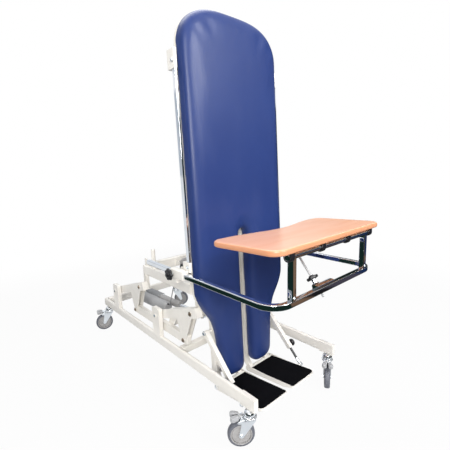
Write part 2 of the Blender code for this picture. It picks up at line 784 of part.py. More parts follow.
def crank_solids(side):
    """Meshes of one bell crank: a box arm that opens into two plates near the post, gussets and pins."""
    post = (0, 0)
    arm = (-math.cos(CRANK_ANGLE), math.sin(CRANK_ANGLE))
    half = CRANK_DEPTH / 2
    nose = FRAME_PIN_LENGTH + CRANK_NOSE
    outer_inside = CRANK_OUTER - CRANK_PLATE
    inner_inside = CRANK_INNER + CRANK_PLATE

    def strip(start, end, low, high):
        return [
            along(post, arm, start, -high),
            along(post, arm, end, -high),
            along(post, arm, end, -low),
            along(post, arm, start, -low),
        ]

    arm_box = prism("X", strip(CRANK_BOX_START, nose, -half, half), side * CRANK_INNER, side * CRANK_OUTER)
    web = prism(
        "X",
        strip(CRANK_WEB_START, nose - 0.01, half - CRANK_WEB, half - 0.0002),
        side * CRANK_INNER,
        side * CRANK_OUTER,
    )
    outer_plate = hull_of_circles([(post, half), (along(post, arm, CRANK_BOX_START + 0.01), half)])
    plates = [prism("X", outer_plate, side * outer_inside, side * CRANK_OUTER)]
    inner_start = strip(CRANK_WEB_START, CRANK_BOX_START + 0.01, -half, half)
    plates.append(prism("X", inner_start, side * CRANK_INNER, side * inner_inside))
    link = (LINK_PIN_Y, LINK_PIN_Z)
    gusset = hull_of_circles(
        [
            (link, GUSSET_TIP_RADIUS),
            (along(post, arm, GUSSET_FRONT), 0.010),
            (along(post, arm, GUSSET_REAR), 0.010),
        ]
    )
    plates.append(prism("X", gusset, side * (outer_inside + 0.0001), side * (CRANK_OUTER - 0.0001)))
    plates.append(prism("X", gusset, side * (CRANK_INNER + 0.0001), side * (inner_inside - 0.0001)))
    pins = [
        turned(
            (side * (outer_inside + 0.001), 0, 0),
            (side, 0, 0),
            [
                (0, PIVOT_PIN_RADIUS),
                (CRANK_PLATE - 0.001, PIVOT_PIN_RADIUS),
                (CRANK_PLATE - 0.001 + GAP, 0.018),
                (CRANK_PLATE - 0.001 + WASHER_GAP - GAP, 0.018),
                (CRANK_PLATE - 0.001 + WASHER_GAP - GAP, PIVOT_PIN_RADIUS),
                (CRANK_PLATE - 0.001 + WASHER_GAP + POST_THICKNESS + GAP, PIVOT_PIN_RADIUS),
                (CRANK_PLATE - 0.001 + WASHER_GAP + POST_THICKNESS + GAP, 0.016),
                (CRANK_PLATE + WASHER_GAP + POST_THICKNESS + 0.006, 0.010),
            ],
            ROUND_PLAIN,
        ),
        turned(
            (side * (CRANK_OUTER + 0.005), LINK_PIN_Y, LINK_PIN_Z),
            (-side, 0, 0),
            [
                (0, 0.007),
                (0.005, 0.011),
                (0.006, LINK_PIN_RADIUS),
                (CRANK_WIDTH + 0.004, LINK_PIN_RADIUS),
                (CRANK_WIDTH + 0.004, 0.009),
                (CRANK_WIDTH + 0.008, 0.009),
            ],
            ROUND_PLAIN,
        ),
    ]
    frame_pin_end = CRANK_OUTER - LEG_INNER + 0.005
    pins.append(
        turned(
            (side * (CRANK_OUTER + 0.005), FRAME_PIN_Y, FRAME_PIN_Z),
            (-side, 0, 0),
            [
                (0, 0.008),
                (0.005, 0.012),
                (0.006, LINK_PIN_RADIUS),
                (frame_pin_end + GAP, LINK_PIN_RADIUS),
                (frame_pin_end + GAP, 0.012),
                (frame_pin_end + 0.006, 0.012),
            ],
            ROUND_PLAIN,
        )
    )
    return [arm_box, web, *plates, *pins]


def front_crank(look, holder):
    """Both front arms, welded to one torsion tube that carries the actuator's lever."""
    joined = []
    centre = (TORSION_TUBE_Y, TORSION_TUBE_Z)
    arm = (-math.cos(CRANK_ANGLE), math.sin(CRANK_ANGLE))
    half_tube = CRANK_INNER + 0.5 * CRANK_PLATE
    joined.append(bar((-half_tube, *centre), (half_tube, *centre), TORSION_TUBE_RADIUS, ROUND_PLAIN))
    for side in (1, -1):
        lug = hull_of_circles(
            [
                (centre, TORSION_TUBE_RADIUS + 0.006),
                (along((0, 0), arm, CRANK_WEB_START), 0.020),
                (along((0, 0), arm, CRANK_BOX_START + 0.02), 0.020),
            ],
        )
        joined.append(
            prism("X", lug, side * (CRANK_INNER - 0.0002), side * (CRANK_INNER + CRANK_PLATE - 0.0002))
        )
        joined += crank_solids(side)
        lever = hull_of_circles(
            [(centre, TORSION_TUBE_RADIUS + 0.005), ((LEVER_PIN_Y, LEVER_PIN_Z), 0.014)]
        )
        joined.append(prism("X", lever, side * LEVER_HALF_GAP, side * (LEVER_HALF_GAP + LEVER_PLATE)))
    half_pin = LEVER_HALF_GAP + LEVER_PLATE + 0.004
    joined.append(
        bar(
            (-half_pin, LEVER_PIN_Y, LEVER_PIN_Z),
            (half_pin, LEVER_PIN_Y, LEVER_PIN_Z),
            ACTUATOR_PIN_RADIUS,
            ROUND_PLAIN,
        ),
    )
    return piece("crank_front", look, holder, joined)


def link_bar(side, name, look, holder):
    """Bar between the crank gussets, about its front pin."""
    outer = CRANK_OUTER - CRANK_PLATE - SIDE_PLAY
    inner = CRANK_INNER + CRANK_PLATE + SIDE_PLAY
    half = LINK_BAR_HEIGHT / 2
    outline = rounded_rectangle(
        (-LINK_BAR_OVERHANG, -half), (CRANK_SPACING + LINK_BAR_OVERHANG, half), 0.006
    )
    beam = prism("X", outline, side * inner, side * outer)
    bores = []
    for y in (0, CRANK_SPACING):
        bores.append(
            bore((side * (inner - 0.01), y, 0), (side * (outer + 0.01), y, 0), LINK_PIN_RADIUS, PIN_PLAY)
        )
    return piece(name, look, holder, [beam], bores)


def make_lift_linkage(looks, root):
    front = pivot("front_crank_axis", root, (0, LIFT_PIVOT_Y, LIFT_PIVOT_Z))
    front_crank(looks["cream"], front)
    rear = pivot("rear_crank_axis", root, (0, LIFT_PIVOT_Y + CRANK_SPACING, LIFT_PIVOT_Z))
    link = pivot("link_axis", root, (0, LIFT_PIVOT_Y + LINK_PIN_Y, LIFT_PIVOT_Z + LINK_PIN_Z))
    for name, side in SIDES:
        piece("crank_rear_" + name, looks["cream"], rear, crank_solids(side))
        link_bar(side, "link_bar_" + name, looks["cream"], link)


# Lifting frame, in the base's directions

def pin_bore(side, near, far, y, z, radius):
    return bore((side * (near - 0.01), y, z), (side * (far + 0.01), y, z), radius, PIN_PLAY)


def lift_rail(side, name, look, root):
    inner, outer = LIFT_RAIL_INNER, LIFT_RAIL_OUTER
    top = LIFT_RAIL_BOTTOM + LIFT_RAIL_HEIGHT
    half_leg = LEG_WIDTH / 2
    rail = mirrored_box(
        side, inner, outer, (LIFT_RAIL_FRONT, LIFT_RAIL_BOTTOM), (LIFT_RAIL_REAR, top), 0.005
    )
    rear_y = FRAME_PIN_AT_Y + CRANK_SPACING
    beam_bottom = FRONT_BEAM_TOP - FRONT_BEAM_SIZE
    legs = []
    for y, leg_top in ((FRAME_PIN_AT_Y, beam_bottom - GAP), (rear_y, LIFT_RAIL_BOTTOM + 0.02)):
        foot = arc((y, FRAME_PIN_AT_Z), 1.3 * half_leg, 180, 360, 8)
        outline = [(y - half_leg, leg_top)] + foot + [(y + half_leg, leg_top)]
        legs.append(prism("X", outline, side * LEG_INNER, side * (outer - 0.0002)))
    tie = [
        (FRAME_PIN_AT_Y, LIFT_RAIL_BOTTOM),
        (LIFT_RAIL_FRONT + 0.03, LIFT_RAIL_BOTTOM + 0.004),
        (LIFT_RAIL_FRONT + 0.03, top - 0.004),
        (FRAME_PIN_AT_Y, beam_bottom - 0.02),
    ]
    gusset = prism("X", tie, side * (LEG_INNER + 0.006), side * (LEG_INNER + 0.018))
    post = turned(
        (side * (inner + outer) / 2, REST_POST_Y, top - 0.01),
        (0, 0, 1),
        [
            (0, REST_POST_RADIUS),
            (REST_POST_TOP - top, REST_POST_RADIUS),
            (REST_POST_TOP - top + 0.007, 0.75 * REST_POST_RADIUS),
            (REST_POST_TOP - top + 0.010, 0.3 * REST_POST_RADIUS),
        ],
        ROUND_PLAIN,
    )
    stop = mirrored_box(
        side,
        inner + 0.008,
        inner + 0.014,
        (rear_y - half_leg, top - 0.01),
        (rear_y + half_leg, STOP_PLATE_TOP),
        0.003,
        "X",
    )
    bores = [
        pin_bore(side, inner, outer, y, FRAME_PIN_AT_Z, LINK_PIN_RADIUS) for y in (FRAME_PIN_AT_Y, rear_y)
    ]
    return piece(name, look, root, [rail, *legs, gusset, post, stop], bores)


def lift_rear_beam(look, root):
    half = LIFT_RAIL_INNER - GAP
    front = LIFT_RAIL_REAR - REAR_BEAM_DEPTH
    beam = box((-half, front, REAR_BEAM_BOTTOM), (half, LIFT_RAIL_REAR, REAR_BEAM_TOP), 0.004, "X")
    ears = []
    for side in (-1, 1):
        outline = hull_of_circles(
            [
                ((TILT_ACTUATOR_Y, TILT_ACTUATOR_Z), 0.015),
                ((front + 0.008, TILT_ACTUATOR_Z - 0.018), 0.004),
                ((front + 0.008, TILT_ACTUATOR_Z + 0.018), 0.004),
            ]
        )
        near = side * (ACTUATOR_EYE_RADIUS + SIDE_PLAY)
        ears.append(prism("X", outline, near, near + side * LEVER_PLATE))
    half_pin = ACTUATOR_EYE_RADIUS + SIDE_PLAY + LEVER_PLATE + 0.004
    pin = bar(
        (-half_pin, TILT_ACTUATOR_Y, TILT_ACTUATOR_Z),
        (half_pin, TILT_ACTUATOR_Y, TILT_ACTUATOR_Z),
        ACTUATOR_PIN_RADIUS,
        ROUND_PLAIN,
    )
    return piece("lift_rear_beam", look, root, [beam, *ears, pin])


def lift_front_beam(look, root):
    """Cross beam with the two square sockets that the workstation bar slides in."""
    half = FRONT_BEAM_SIZE / 2
    reach = BAR_CENTRE_X - 0.001
    low = (-reach, FRONT_BEAM_Y - half, FRONT_BEAM_TOP - FRONT_BEAM_SIZE)
    joined = [box(low, (reach, FRONT_BEAM_Y + half, FRONT_BEAM_TOP), 0.004, "X")]
    cuts = []
    for side in (-1, 1):
        centre = side * BAR_CENTRE_X
        low = (centre - SOCKET_WIDTH / 2, BAR_CENTRE_Z - SOCKET_HEIGHT / 2)
        high = (centre + SOCKET_WIDTH / 2, BAR_CENTRE_Z + SOCKET_HEIGHT / 2)
        outline = rounded_rectangle(low, high, SOCKET_EDGE)
        joined.append(prism("Y", outline, SOCKET_FRONT, SOCKET_REAR))
        half_hole = BAR_SIZE / 2 + BAR_PLAY
        low = (centre - half_hole, BAR_CENTRE_Z - half_hole)
        high = (centre + half_hole, BAR_CENTRE_Z + half_hole)
        hole = rounded_rectangle(low, high, BAR_EDGE, 2)
        cuts.append(prism("Y", hole, SOCKET_FRONT - 0.02, SOCKET_REAR + 0.02))
        screw_end = (centre + side * SOCKET_WIDTH, SOCKET_KNOB_Y, BAR_CENTRE_Z)
        cuts.append(
            bore((centre, SOCKET_KNOB_Y, BAR_CENTRE_Z), screw_end, STAR_STEM_RADIUS, PIN_PLAY, ROUND_SMALL)
        )
    return piece("lift_front_beam", look, root, joined, cuts)


def hinge_bearing(side, name, look, root):
    """Bearing block that stands on the front beam and carries the board's hinge tube."""
    foot_half = 0.9 * FRONT_BEAM_SIZE
    foot_bottom = FRONT_BEAM_TOP + GAP
    low_x, high_x = BEARING_X - BEARING_WIDTH / 2, BEARING_X + BEARING_WIDTH / 2
    foot = mirrored_box(
        side,
        low_x,
        high_x,
        (HINGE_Y - foot_half, foot_bottom),
        (HINGE_Y + foot_half, foot_bottom + BEARING_FOOT),
        0.002,
        "X",
    )
    ring = prism(
        "X",
        circle((HINGE_Y, HINGE_Z), BEARING_RADIUS, ROUND_FINE),
        side * (low_x + 0.001),
        side * (high_x - 0.001),
    )
    hole = pin_bore(side, low_x, high_x, HINGE_Y, HINGE_Z, HINGE_TUBE_RADIUS)
    below = box(
        (side * BEARING_X - 0.03, HINGE_Y - 0.08, foot_bottom - 0.03),
        (side * BEARING_X + 0.03, HINGE_Y + 0.08, foot_bottom),
    )
    return piece(name, look, root, [foot, ring], [hole, below])


def star_knob(name, look, holder, stem):
    """Seven-lobed knob facing +X, with its screw reaching back along -X from the origin."""
    outline = []
    steps = STAR_LOBES * 4
    for i in range(steps):
        turn = 2 * math.pi * i / steps
        radius = STAR_RADIUS - STAR_LOBE_DEPTH * (0.5 - 0.5 * math.cos(STAR_LOBES * turn))
        outline.append((radius * math.cos(turn), radius * math.sin(turn)))
    thin = inset(outline, 0.003)
    layers = [(0.004, thin), (0.007, outline), (STAR_THICKNESS - 0.003, outline), (STAR_THICKNESS, thin)]
    star = loft([[(x, a, b) for a, b in ring] for x, ring in layers])
    hub = turned((0, 0, 0), (1, 0, 0), [(0, 0.010), (0.006, 0.012)], ROUND_PLAIN)
    cap = turned(
        (STAR_THICKNESS - 0.002, 0, 0),
        (1, 0, 0),
        [
            (0, STAR_HUB_RADIUS),
            (0.4 * STAR_HUB_HEIGHT, STAR_HUB_RADIUS),
            (STAR_HUB_HEIGHT, 0.6 * STAR_HUB_RADIUS),
        ],
        ROUND_PLAIN,
    )
    joined = [star, hub, cap]
    if stem > 0:
        joined.append(bar((-stem, 0, 0), (0.008, 0, 0), STAR_STEM_RADIUS, ROUND_SMALL))
    return piece(name, look, holder, joined)


def make_lifting_frame(looks, root):
    for name, side in SIDES:
        lift_rail(side, "lift_rail_" + name, looks["cream"], root)
        hinge_bearing(side, "hinge_bearing_" + name, looks["black"], root)
        socket_face = BAR_CENTRE_X + SOCKET_WIDTH / 2
        stem = SOCKET_WIDTH / 2 - BAR_SIZE / 2 + SOCKET_KNOB_STAND - GAP
        place = (side * (socket_face + SOCKET_KNOB_STAND), SOCKET_KNOB_Y, BAR_CENTRE_Z)
        knob = pivot("socket_knob_axis_" + name, root, place, turn_z=0.0 if side > 0 else math.pi)
        star_knob("socket_knob_" + name, looks["black"], knob, stem)
    lift_rear_beam(looks["cream"], root)
    lift_front_beam(looks["cream"], root)


# Board, drawn upright about its hinge

WAIST = (
    (PAD_HALF_WIDTH, -0.020),
    (0.302, -0.080),
    (0.278, -0.180),
    (0.228, -0.265),
    (0.200, -0.365),
    (0.183, -0.420),
    (PAD_LEG_HALF_WIDTH, -0.520),
)


def board_half():
    """Right half of the board's outline (x, z), from the slot's top round to the crown of the arch."""
    right = arc((0, SLOT_TOP - SLOT_HALF_WIDTH), SLOT_HALF_WIDTH, 90, 0, 5)
    right += arc((SLOT_HALF_WIDTH + SLOT_CORNER, PAD_BOTTOM + SLOT_CORNER), SLOT_CORNER, 180, 270, 5)
    corner = (PAD_LEG_HALF_WIDTH - PAD_LEG_CORNER, PAD_BOTTOM + PAD_LEG_CORNER)
    right += arc(corner, PAD_LEG_CORNER, 270, 360, 6)
    right += smooth_through(WAIST[::-1], 3)
    spring = PAD_TOP - PAD_ARCH_HEIGHT
    steps = 10
    for i in range(steps + 1):
        turn = 0.5 * math.pi * i / steps
        x = PAD_HALF_WIDTH * math.cos(turn) ** (2 / PAD_ARCH_WIDE)
        z = spring + PAD_ARCH_HEIGHT * math.sin(turn) ** (2 / PAD_ARCH_TALL)
        right.append((x, z))
    return right


def board_outline():
    right = board_half()
    left = [(-x, z) for x, z in reversed(right[1:-1])]
    return right + left


def board_pad(look, board):
    """Cushion with drawn-in sides, rounded face edges and a slight crown."""
    outline = board_outline()
    layers = [
        (PAD_BACK, PAD_DRAW),
        (0.6 * PAD_BACK + 0.4 * (PAD_FACE + PAD_EDGE), 0.0),
        (PAD_FACE + PAD_EDGE, 0.0),
    ]
    for turn in (30, 60, 90):
        rise = math.sin(math.radians(turn))
        drawn = 1 - math.cos(math.radians(turn))
        layers.append((PAD_FACE + PAD_EDGE - rise * (PAD_EDGE - PAD_CROWN), drawn * PAD_EDGE))
    layers.append((PAD_FACE, PAD_FACE_INSET))
    rings = []
    for y, depth in layers:
        ring = inset(outline, depth) if depth > 0 else outline
        rings.append([(x, y, z) for x, z in ring])
    return piece("board_pad", look, board, [loft(rings)])


def board_ply(look, board):
    return piece(
        "board_panel",
        look,
        board,
        [prism("Y", inset(board_outline(), PLY_MARGIN), PLY_FRONT, PLY_BACK)],
        smooth=False,
    )


def frame_tube(side, x, bottom, top):
    return mirrored_box(
        side,
        x - FRAME_TUBE_WIDTH / 2,
        x + FRAME_TUBE_WIDTH / 2,
        (TUBE_FRONT, bottom),
        (TUBE_BACK, top),
        0.004,
        "Z",
    )


def rail_bracket(side, bottom, top):
    """Angle bracket that holds one end of an accessory rail off the board's edge."""
    outer = ACCESSORY_RAIL_X + ACCESSORY_RAIL_THICKNESS / 2 + RAIL_BRACKET_WALL
    front = ACCESSORY_RAIL_Y - ACCESSORY_RAIL_WIDTH / 2 - 0.002
    strap = mirrored_box(
        side, FRAME_SIDE_X, outer - 0.001, (TUBE_FRONT + 0.001, bottom), (TUBE_FRONT + 0.011, top)
    )
    cheek_inner = ACCESSORY_RAIL_X - ACCESSORY_RAIL_THICKNESS / 2 - RAIL_BRACKET_WALL
    cheek = mirrored_box(side, cheek_inner, outer, (front, bottom), (TUBE_FRONT + 0.010, top), 0.003, "Z")
    middle = (bottom + top) / 2
    bolt = turned(
        (side * (outer - 0.002), ACCESSORY_RAIL_Y, middle),
        (side, 0, 0),
        [(0, 0.008), (0.003, 0.008), (0.006, 0.005)],
        ROUND_SMALL,
    )
    return [strap, cheek, bolt]


def strut_boss(side):
    """Stub beside the outer leg tube that carries a strut's upper end and its bolt."""
    boss_end = STRUT_X - STRUT_TUBE_SIZE / 2 - SIDE_PLAY
    head = STRUT_X + STRUT_TUBE_SIZE / 2 + GAP
    place = (side * (FRAME_LEG_X + 0.2 * FRAME_TUBE_WIDTH), STRUT_TOP_Y, STRUT_TOP_Z)
    offset = FRAME_LEG_X + 0.2 * FRAME_TUBE_WIDTH
    profile = [
        (0, STRUT_BOSS_RADIUS),
        (boss_end - offset, STRUT_BOSS_RADIUS),
        (boss_end - offset, STRUT_PIN_RADIUS),
        (head - offset, STRUT_PIN_RADIUS),
        (head - offset, 0.010),
        (head - offset + 0.004, 0.010),
        (head - offset + 0.007, 0.006),
    ]
    return turned(place, (side, 0, 0), profile, ROUND_PLAIN)


def foot_lug(side, x):
    """Plate that carries the footplate shaft in front of a leg tube's lower end."""
    half = FRAME_TUBE_WIDTH / 2
    outline = hull_of_circles(
        [
            ((FOOT_HINGE_Y, FOOT_HINGE_Z), 0.014),
            ((TUBE_FRONT + 0.010, FRAME_LEG_BOTTOM + 0.012), 0.010),
            ((TUBE_BACK - 0.012, FRAME_LEG_BOTTOM + 0.012), 0.010),
        ]
    )
    return prism("X", outline, side * (x - half + 0.0002), side * (x + half - 0.0002))


def board_frame(look, board):
    """Welded ladder of square tube behind the panel, with its brackets, bosses and foot shafts."""
    joined = []
    half_width = FRAME_SIDE_X + FRAME_TUBE_WIDTH / 2
    size = FRAME_TUBE_WIDTH
    for z in (FRAME_TOP, FRAME_MID, FRAME_LOW):
        low = (-half_width + 0.001, TUBE_FRONT + 0.0002, z - size / 2)
        joined.append(box(low, (half_width - 0.001, TUBE_BACK - 0.0002, z + size / 2)))
    for side in (1, -1):
        joined.append(frame_tube(side, FRAME_SIDE_X, FRAME_SIDE_BOTTOM, FRAME_TOP + size / 2))
        for x in (FRAME_LEG_X, FRAME_INNER_X):
            joined.append(frame_tube(side, x, FRAME_LEG_BOTTOM, FRAME_LOW + 0.2 * size))
            joined.append(foot_lug(side, x))
        tie = mirrored_box(
            side,
            FRAME_INNER_X,
            FRAME_LEG_X,
            (TUBE_FRONT + 0.001, FRAME_LEG_BOTTOM + 0.004),
            (TUBE_BACK - 0.001, FRAME_LEG_BOTTOM + 0.004 + size),
        )
        joined.append(tie)
        joined += rail_bracket(side, ACCESSORY_RAIL_BOTTOM - RAIL_BRACKET_LENGTH, ACCESSORY_RAIL_BOTTOM)
        joined += rail_bracket(side, ACCESSORY_RAIL_TOP, ACCESSORY_RAIL_TOP + RAIL_BRACKET_TOP_LENGTH)
        joined.append(strut_boss(side))
        joined.append(foot_shaft(side))
    return piece("board_frame", look, board, joined)


def foot_shaft(side):
    start = FOOT_INNER - 0.003
    head = FOOT_OUTER + GAP
    profile = [
        (0, 0.8 * FOOT_SHAFT_RADIUS),
        (0.001, FOOT_SHAFT_RADIUS),
        (head - start, FOOT_SHAFT_RADIUS),
        (head - start, 0.011),
        (head - start + 0.006, 0.008),
    ]
    return turned((side * start, FOOT_HINGE_Y, FOOT_HINGE_Z), (side, 0, 0), profile, ROUND_PLAIN)


def hinge_tube(look, board):
    """Tube that the board turns on, with the lever that the tilt actuator pulls."""
    half = BEARING_X + BEARING_WIDTH / 2 + 0.004
    joined = [bar((-half, 0, 0), (half, 0, 0), HINGE_TUBE_RADIUS, ROUND_PLAIN)]
    tip = (TILT_LEVER_LENGTH * math.sin(-BOARD_LEAN), TILT_LEVER_LENGTH * math.cos(BOARD_LEAN))
    for side in (-1, 1):
        lever = hull_of_circles([((0, 0), HINGE_TUBE_RADIUS + 0.004), (tip, 0.012)])
        joined.append(prism("X", lever, side * LEVER_HALF_GAP, side * (LEVER_HALF_GAP + LEVER_PLATE)))
    half_pin = LEVER_HALF_GAP + LEVER_PLATE + 0.003
    joined.append(bar((-half_pin, *tip), (half_pin, *tip), ACTUATOR_PIN_RADIUS, ROUND_PLAIN))
    return piece("board_hinge_tube", look, board, joined)


def accessory_rail(side, name, look, board):
    half_thickness = ACCESSORY_RAIL_THICKNESS / 2
    low = (ACCESSORY_RAIL_Y - ACCESSORY_RAIL_WIDTH / 2, ACCESSORY_RAIL_BOTTOM + GAP)
    high = (ACCESSORY_RAIL_Y + ACCESSORY_RAIL_WIDTH / 2, ACCESSORY_RAIL_TOP - GAP)
    rail = mirrored_box(
        side, ACCESSORY_RAIL_X - half_thickness, ACCESSORY_RAIL_X + half_thickness, low, high, 0.0015, "Z"
    )
    return piece(name, look, board, [rail])


def make_board(looks, board):
    board_pad(looks["navy"], board)
    board_ply(looks["panel"], board)
    board_frame(looks["cream"], board)
    hinge_tube(looks["cream"], board)
    for name, side in SIDES:
        accessory_rail(side, "accessory_rail_" + name, looks["chrome"], board)


# Footplates, drawn about the foot shaft with the toes along -Y

def foot_plan(side, margin, heel):
    """Outline of a footplate from above, less a margin: rounded at the toes and square at the heel."""
    inner, outer = FOOT_INNER + margin, FOOT_OUTER - margin
    toe = -FOOT_TOE + margin
    inside, outside = FOOT_INNER_CORNER - margin, FOOT_OUTER_CORNER - margin
    outline = [(inner, heel)]
    outline += arc((inner + inside, toe + inside), inside, 180, 270, 3)
    outline += arc((outer - outside, toe + outside), outside, 270, 360, 5)
    outline += [(outer, heel)]
    if side < 0:
        outline = [(-x, y) for x, y in reversed(outline)]
    return outline


def foot_pan(side, name, look, holder):
    """Pan of folded sheet, open below, whose side flanges taper towards the toes, with a lip at the heel."""
    top, lip, skirt = FOOT_TOP, FOOT_TOP - FOOT_LIP, FOOT_TOP - FOOT_SKIRT
    toe, heel = -FOOT_TOE, -FOOT_HEEL
    shell = prism("Z", foot_plan(side, 0, heel), skirt, top)
    cavity = prism("Z", foot_plan(side, FOOT_SHEET, heel + 0.02), skirt - 0.01, top - FOOT_SHEET)
    chin = [
        (toe - 0.02, lip),
        (toe + 0.006, lip),
        (toe + 0.006 + FOOT_TAPER, skirt - 0.0005),
        (toe + 0.006 + FOOT_TAPER, skirt - 0.02),
        (toe - 0.02, skirt - 0.02),
    ]
    under_toes = prism("X", chin, side * (FOOT_INNER - 0.01), side * (FOOT_OUTER + 0.01))
    lip_box = mirrored_box(
        side,
        FOOT_INNER,
        FOOT_OUTER,
        (heel - FOOT_SHEET, top - FOOT_SHEET),
        (heel, top + HEEL_LIP_HEIGHT),
        0.001,
        "X",
    )
    return piece(name, look, holder, [shell, lip_box], [cavity, under_toes])


def footplate(side, name, look, holder):
    """The pan with the ears on its shaft and the strut's pin joined on, bored for the shaft."""
    pan = foot_pan(side, name + "_pan", look, holder)
    base = bmesh.new()
    base.from_mesh(pan.data)
    bpy.data.objects.remove(pan, do_unlink=True)
    low = FOOT_TOP - FOOT_SKIRT + 0.008
    ears = []
    for near, far in ((FOOT_INNER + 0.0002, FOOT_INNER + 0.004), (FOOT_OUTER - 0.004, FOOT_OUTER - 0.0002)):
        reach = -FOOT_EAR_REACH
        ear = hull_of_circles(
            [((0, 0), FOOT_EAR_RADIUS), ((reach, low), 0.006), ((reach, FOOT_TOP - 0.008), 0.006)]
        )
        ears.append(prism("X", ear, side * near, side * far))
    start = FOOT_OUTER - 0.004
    eye_start = STRUT_X - STRUT_ROD_RADIUS - SIDE_PLAY
    eye_end = STRUT_X + STRUT_ROD_RADIUS + SIDE_PLAY
    pin = turned(
        (side * start, -STRUT_FOOT_REACH, STRUT_FOOT_RISE),
        (side, 0, 0),
        [
            (0, STRUT_PIN_RADIUS + 0.0025),
            (eye_start - start, STRUT_PIN_RADIUS + 0.0025),
            (eye_start - start, STRUT_PIN_RADIUS),
            (eye_end - start, STRUT_PIN_RADIUS),
            (eye_end - start, 0.009),
            (eye_end - start + 0.003, 0.009),
        ],
        ROUND_PLAIN,
    )
    shaft = (side * (FOOT_INNER - 0.02), 0, 0)
    hole = bore(shaft, (side * (FOOT_OUTER + 0.002), 0, 0), FOOT_SHAFT_RADIUS, PIN_PLAY)
    return piece(name, look, holder, [base, *ears, pin], [hole])


def foot_mat(side, name, look, holder):
    plan = foot_plan(side, MAT_MARGIN, -FOOT_HEEL - FOOT_SHEET - 0.004)
    return piece(
        name, look, holder, [prism("Z", plan, FOOT_TOP + GAP, FOOT_TOP + MAT_THICKNESS)], smooth=False
    )


def strut_tube(side, name, look, holder):
    """Square tube from its top pivot down along -Z, bored for the rod and for the clamp knob."""
    half = STRUT_TUBE_SIZE / 2
    centre = side * STRUT_X
    top = arc((0, 0), half, 0, 180, 8)
    outline = [(-half, -STRUT_TUBE_LENGTH), (half, -STRUT_TUBE_LENGTH)] + top
    body = prism("X", outline, centre - half, centre + half)
    cuts = [
        bore((centre - side * 0.03, 0, 0), (centre + side * 0.03, 0, 0), STRUT_PIN_RADIUS, PIN_PLAY),
        bore((centre, 0, -0.035), (centre, 0, -STRUT_TUBE_LENGTH - 0.02), STRUT_ROD_RADIUS, PIN_PLAY),
        bore(
            (centre, 0, -STRUT_KNOB_AT),
            (centre + side * 0.03, 0, -STRUT_KNOB_AT),
            STAR_STEM_RADIUS,
            PIN_PLAY,
            ROUND_SMALL,
        ),
    ]
    return piece(name, look, holder, [body], cuts)


def strut_rod(side, name, look, holder, length):
    """Rod in the strut tube, with the end fitting that holds the footplate's pin."""
    centre = side * STRUT_X
    eye = (0, -length)
    rod = bar(
        (centre, 0, -0.120), (centre, 0, -length + 0.6 * STRUT_EYE_RADIUS), STRUT_ROD_RADIUS, ROUND_PLAIN
    )
    ring = prism(
        "X",
        circle(eye, STRUT_EYE_RADIUS, ROUND_PLAIN),
        centre - STRUT_ROD_RADIUS,
        centre + STRUT_ROD_RADIUS,
    )
    hole = bore((centre - 0.03, 0, -length), (centre + 0.03, 0, -length), STRUT_PIN_RADIUS, STRUT_PIN_PLAY)
    return piece(name, look, holder, [rod, ring], [hole])


def strut_knob(name, look, holder):
    """Round knob facing +X with its screw reaching back along -X."""
    radius = STRUT_KNOB_RADIUS
    ball = turned(
        (0, 0, 0),
        (1, 0, 0),
        [
            (0, 0.45 * radius),
            (0.006, 0.5 * radius),
            (0.009, 0.88 * radius),
            (0.014, radius),
            (0.021, radius),
            (0.027, 0.8 * radius),
            (0.030, 0.4 * radius),
        ],
        ROUND_PLAIN,
    )
    stem = STRUT_TUBE_SIZE / 2 - STRUT_ROD_RADIUS + 0.002 - GAP
    screw = bar((-stem, 0, 0), (0.003, 0, 0), STAR_STEM_RADIUS, ROUND_SMALL)
    return piece(name, look, holder, [ball, screw])


def strut_line():
    """Length and angle from vertical of the strut, in the board's directions."""
    foot_y = FOOT_HINGE_Y - STRUT_FOOT_REACH * math.cos(FOOT_SLOPE) + STRUT_FOOT_RISE * math.sin(FOOT_SLOPE)
    foot_z = FOOT_HINGE_Z + STRUT_FOOT_REACH * math.sin(FOOT_SLOPE) + STRUT_FOOT_RISE * math.cos(FOOT_SLOPE)
    run = foot_y - STRUT_TOP_Y
    drop = foot_z - STRUT_TOP_Z
    return math.hypot(run, drop), math.atan2(run, -drop)


def make_footplates(looks, board):
    length, slant = strut_line()
    for name, side in SIDES:
        hinge = pivot("footplate_axis_" + name, board, (0, FOOT_HINGE_Y, FOOT_HINGE_Z), turn_x=-FOOT_SLOPE)
        footplate(side, "footplate_" + name, looks["cream"], hinge)
        foot_mat(side, "foot_mat_" + name, looks["rubber"], hinge)
        strut = pivot("strut_axis_" + name, board, (0, STRUT_TOP_Y, STRUT_TOP_Z), turn_x=slant)
        strut_tube(side, "strut_tube_" + name, looks["cream"], strut)
        strut_rod(side, "strut_rod_" + name, looks["black"], strut, length)
        face = STRUT_X + STRUT_TUBE_SIZE / 2 + 0.002
        knob = pivot(
            "strut_knob_axis_" + name,
            strut,
            (side * face, 0, -STRUT_KNOB_AT),
            turn_z=0.0 if side > 0 else math.pi,
        )
        strut_knob("strut_knob_" + name, looks["black"], knob)


# Workstation

def workstation_bar(look, root):
    """Square chrome tube bent into a U, open to the rear."""
    centre = BAR_CENTRE_X
    front = BAR_FRONT + BAR_SIZE / 2
    path = [(-centre, BAR_REAR)]
    path += arc((-centre + BAR_CORNER, front + BAR_CORNER), BAR_CORNER, 180, 270, 8)
    path += arc((centre - BAR_CORNER, front + BAR_CORNER), BAR_CORNER, 270, 360, 8)
    path += [(centre, BAR_REAR)]
    half = BAR_SIZE / 2
    section = rounded_rectangle((-half, -half), (half, half), BAR_EDGE, 2)
    tube = swept_level([(x, y, BAR_CENTRE_Z) for x, y in path], section)
    return piece("workstation_bar", look, root, [tube])


